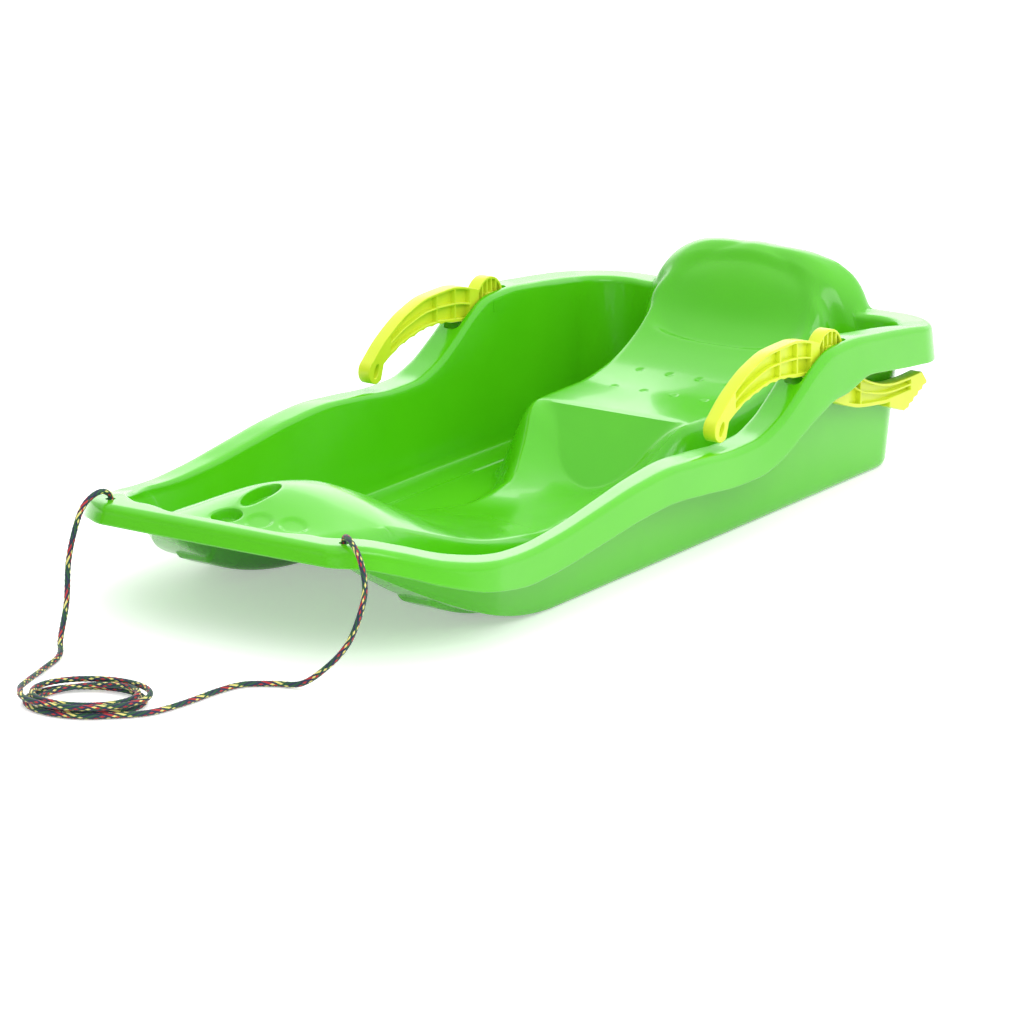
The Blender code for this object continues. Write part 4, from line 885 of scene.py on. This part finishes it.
def braid(mesh, spots, radius):
    """Braided tube round the points: a net of lozenges, each one a strand crossing over another."""
    spots, length = resampled(spots, BRAID_STEP)
    count = len(spots)
    way = np.gradient(spots, axis=0)
    way /= np.linalg.norm(way, axis=1)[:, None]
    normal = np.cross(way[0], BRAID_START)
    normal /= np.linalg.norm(normal)
    frames = []
    for k in range(count):
        normal = normal - way[k] * normal.dot(way[k])
        normal = normal / np.linalg.norm(normal)
        frames.append((normal, np.cross(way[k], normal)))

    def place(k, turn, reach):
        a, b = frames[k]
        angle = math.tau * turn / BRAID_AROUND
        return mesh.verts.new(spots[k] + reach * (a * math.cos(angle) + b * math.sin(angle)))

    core = radius - BRAID_BULGE
    rings = [[place(k, i + 0.5 * (k % 2), core) for i in range(BRAID_AROUND)] for k in range(count)]
    for k in range(count - 2):
        odd = k % 2
        half = k // 2
        for i in range(BRAID_AROUND):
            left, right = (i - 1 + odd) % BRAID_AROUND, (i + odd) % BRAID_AROUND
            middle = place(k + 1, i + 0.5 * odd, radius)
            corners = (rings[k][i], rings[k + 1][right], rings[k + 2][i], rings[k + 1][left])
            colour = STRANDS_B[(i + half) % BRAID_AROUND] if odd else STRANDS_A[(i - half) % BRAID_AROUND]
            for p, q in zip(corners, corners[1:] + corners[:1]):
                face = mesh.faces.new((p, q, middle))
                face.material_index = colour
                face.smooth = True
    for ring, following, odd in ((rings[0], rings[1], 0), (rings[-1], rings[-2], (count - 1) % 2)):
        centre = mesh.verts.new(sum((v.co for v in ring), Vector()) / len(ring))
        for i in range(BRAID_AROUND):
            n = (i + 1) % BRAID_AROUND
            mesh.faces.new((ring[i], ring[n], centre))
            mesh.faces.new((ring[i], following[(i + odd) % BRAID_AROUND], ring[n]))
    return length


def rope_object(name, path, radius, looks):
    mesh = bmesh.new()
    length = braid(mesh, path, radius)
    bmesh.ops.recalc_face_normals(mesh, faces=mesh.faces)
    item = from_bmesh(name, mesh)
    for look in looks:
        item.data.materials.append(look)
    return item, length


def knot_path(x):
    """Overhand knot under the rim, drawn tight."""
    top = float(rim_height(CREST_FRONT)) - WALL - KNOT_GAP
    middle = top - KNOT_TALL / 2
    points = []
    for k in range(KNOT_STEPS):
        t = math.tau * k / KNOT_STEPS
        points.append((x + KNOT_LOOP * (math.sin(t) + 2 * math.sin(2 * t)),
                       HOLE_Y + KNOT_LOOP * (math.cos(t) - 2 * math.cos(2 * t)),
                       middle - KNOT_WAVE * math.sin(3 * t)))
    return np.array(points + points[:1])


def make_rope(looks):
    path = rope_path()
    rope, length = rope_object("pull_rope", path, ROPE_RADIUS, looks)
    for name, side in (("right", -1), ("left", 1)):
        knot, _ = rope_object("rope_knot_" + name, knot_path(side * HOLE_X), KNOT_CORD, looks)
        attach(knot, "sled")
        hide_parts("knot_" + name)
    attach(rope, "sled")
    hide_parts("rope_right", "rope_coil", "rope_left")


# Materials: noise scales are per metre, colours are linear
def new_material(name):
    made = bpy.data.materials.new(name)
    made.use_nodes = True
    tree = made.node_tree
    return made, tree, tree.nodes["Principled BSDF"]


def settle(node, **values):
    """Sets the node's inputs, with _ for a space in their names."""
    for name, value in values.items():
        node.inputs[name.replace("_", " ")].default_value = value


def noise(tree, scale, detail=2.0, roughness=0.5):
    coords = tree.nodes.new("ShaderNodeTexCoord")
    node = tree.nodes.new("ShaderNodeTexNoise")
    settle(node, Scale=scale, Detail=detail, Roughness=roughness)
    tree.links.new(coords.outputs["Object"], node.inputs["Vector"])
    return node.outputs["Fac"]


def ramp(tree, source, target, low, high, stops=(0.3, 0.7)):
    """Feeds the source to the target between two colours, or two levels given as numbers."""
    node = tree.nodes.new("ShaderNodeValToRGB")
    for element, place, value in zip(node.color_ramp.elements, stops, (low, high)):
        element.position = place
        element.color = (*value, 1.0) if isinstance(value, tuple) else (value, value, value, 1.0)
    tree.links.new(source, node.inputs["Fac"])
    tree.links.new(node.outputs["Color"], target)


def bump(tree, source, strength, distance, target):
    node = tree.nodes.new("ShaderNodeBump")
    settle(node, Strength=strength, Distance=distance)
    tree.links.new(source, node.inputs["Height"])
    tree.links.new(node.outputs["Normal"], target)
    return node


def plastic(name, deep, light, rough_low, rough_high, coat=0.0):
    """Glossy moulded plastic: slightly uneven colour, faint flow waves and a very fine skin."""
    made, tree, shader = new_material(name)
    ramp(tree, noise(tree, scale=9.0, detail=3.0), shader.inputs["Base Color"], deep, light)
    ramp(tree, noise(tree, scale=45.0, detail=4.0), shader.inputs["Roughness"], rough_low, rough_high,
         stops=(0.3, 0.75))
    skin = bump(tree, noise(tree, scale=900.0), 0.05, 0.0001, shader.inputs["Normal"])
    bump(tree, noise(tree, scale=14.0, detail=1.0), 0.18, 0.0012, skin.inputs["Normal"])
    settle(shader, IOR=1.45, Coat_Weight=coat, Coat_Roughness=0.04)
    return made


def steel(name):
    """Drawn wire, with fine streaks."""
    made, tree, shader = new_material(name)
    streaks = noise(tree, scale=400.0, detail=3.0)
    ramp(tree, streaks, shader.inputs["Base Color"], (0.5, 0.51, 0.53), (0.6, 0.61, 0.63))
    ramp(tree, streaks, shader.inputs["Roughness"], 0.26, 0.42)
    bump(tree, streaks, 0.2, 0.0001, shader.inputs["Normal"])
    settle(shader, Metallic=1.0)
    return made


def yarn(name, dark, light):
    """Soft fibres with a slight sheen."""
    made, tree, shader = new_material(name)
    fibre = noise(tree, scale=1500.0, detail=3.0, roughness=0.7)
    ramp(tree, fibre, shader.inputs["Base Color"], dark, light)
    bump(tree, fibre, 0.6, 0.0003, shader.inputs["Normal"])
    settle(shader, Roughness=0.62, Sheen_Weight=0.25, Sheen_Roughness=0.4)
    return made


# Floor, world and lamps
FLOOR_GLOW, FLOOR_WHITE = 0.38, (0.92, 0.92, 0.92, 1)
FLOOR_X, FLOOR_Y, FLOOR_LINES = (-14, 14), (-10, 18), 9
WORLD_LOW, WORLD_HIGH, WORLD_WAY = 0.36, 1.45, (0.05, 0.5, 0.86)
WORLD_FROM, WORLD_TO = -0.25, 0.7
WHITE = (1, 1, 1, 1)
# Name, place, the point it shines at, width and height, power in watts
LAMPS = (
    ("key_box", (2.4, -1.5, 2.3), (0, 0, 0.1), (2.4, 1.4), 30.0),
    ("back_box", (-2.0, 2.1, 1.2), (0, 0, 0.1), (3.8, 1.5), 18.0),
    ("strip_box", (0.4, -2.8, 1.0), (0, -0.3, 0.1), (1.6, 0.1), 3.0),
)


def math_node(tree, operation, first, second):
    node = tree.nodes.new("ShaderNodeMath")
    node.operation = operation
    for source, socket in zip((first, second), node.inputs):
        if isinstance(source, float):
            socket.default_value = source
        else:
            tree.links.new(source, socket)
    return node.outputs["Value"]


def white_stage():
    """Floor that keeps the shadow, and looks white to the camera and in reflections."""
    made, tree, shader = new_material("floor_white")
    settle(shader, Base_Color=FLOOR_WHITE, Roughness=0.9, Specular_IOR_Level=0.0, Emission_Color=WHITE)
    path = tree.nodes.new("ShaderNodeLightPath").outputs
    seen = math_node(tree, "MAXIMUM", path["Is Camera Ray"], path["Is Glossy Ray"])
    seen = math_node(tree, "MAXIMUM", seen, path["Is Transmission Ray"])
    glow = math_node(tree, "MULTIPLY", seen, FLOOR_GLOW)
    tree.links.new(glow, shader.inputs["Emission Strength"])
    mesh = bmesh.new()
    across, along = np.linspace(*FLOOR_X, FLOOR_LINES), np.linspace(*FLOOR_Y, FLOOR_LINES)
    rows = [[mesh.verts.new((x, y, 0.0)) for x in across] for y in along]
    strips(mesh, rows, shut=False)
    from_bmesh("floor", mesh, made)


def world_light():
    """White studio: brightest above the sled and behind it, darker in front of it."""
    world = bpy.data.worlds.new("studio")
    bpy.context.scene.world = world
    world.use_nodes = True
    tree = world.node_tree
    background = tree.nodes["Background"]
    settle(background, Color=WHITE)
    coords = tree.nodes.new("ShaderNodeTexCoord")
    along = tree.nodes.new("ShaderNodeVectorMath")
    along.operation = "DOT_PRODUCT"
    along.inputs[1].default_value = tuple(Vector(WORLD_WAY).normalized())
    tree.links.new(coords.outputs["Generated"], along.inputs[0])
    level = tree.nodes.new("ShaderNodeMapRange")
    level.interpolation_type = "SMOOTHSTEP"
    settle(level, From_Min=WORLD_FROM, From_Max=WORLD_TO, To_Min=WORLD_LOW, To_Max=WORLD_HIGH)
    tree.links.new(along.outputs["Value"], level.inputs["Value"])
    tree.links.new(level.outputs["Result"], background.inputs["Strength"])


def softbox(name, place, target, size, power):
    data = bpy.data.lights.new(name, "AREA")
    data.shape = "RECTANGLE"
    data.size, data.size_y = size
    data.energy = power
    aimed(name, data, place, Vector(target) - Vector(place))


def make_camera():
    data = bpy.data.cameras.new("camera")
    data.sensor_width = SENSOR_WIDE
    data.lens = FOCAL_PIXELS / PICTURE_PIXELS * SENSOR_WIDE
    a, e = CAMERA_AZIMUTH, CAMERA_ELEVATION
    back = Vector((math.sin(a) * math.cos(e), -math.cos(a) * math.cos(e), math.sin(e)))
    bpy.context.scene.camera = aimed("camera", data, CAMERA_EYE, -back)


make_camera()
green = plastic("tub_plastic", (0.086, 0.53, 0.004), (0.1, 0.57, 0.006), 0.19, 0.25, 0.2)
lime = plastic("lever_plastic", (0.66, 0.79, 0.026), (0.72, 0.83, 0.036), 0.29, 0.36)
metal = steel("pin_wire")
yarns = [yarn("yarn_navy", (0.006, 0.01, 0.034), (0.014, 0.024, 0.085)),
         yarn("yarn_green", (0.006, 0.05, 0.018), (0.012, 0.12, 0.04)),
         yarn("yarn_red", (0.36, 0.01, 0.014), (0.62, 0.03, 0.035)),
         yarn("yarn_yellow", (0.7, 0.62, 0.12), (0.92, 0.86, 0.3))]

make_rope(yarns)
make_hull(green)
for word, way in (("left", 1), ("right", -1)):
    make_lever("brake_lever_" + word, way, lime)
    make_pin("pivot_pin_" + word, way, metal)

white_stage()
world_light()
for lamp in LAMPS:
    softbox(*lamp)
bpy.context.scene.view_settings.view_transform = "Standard"
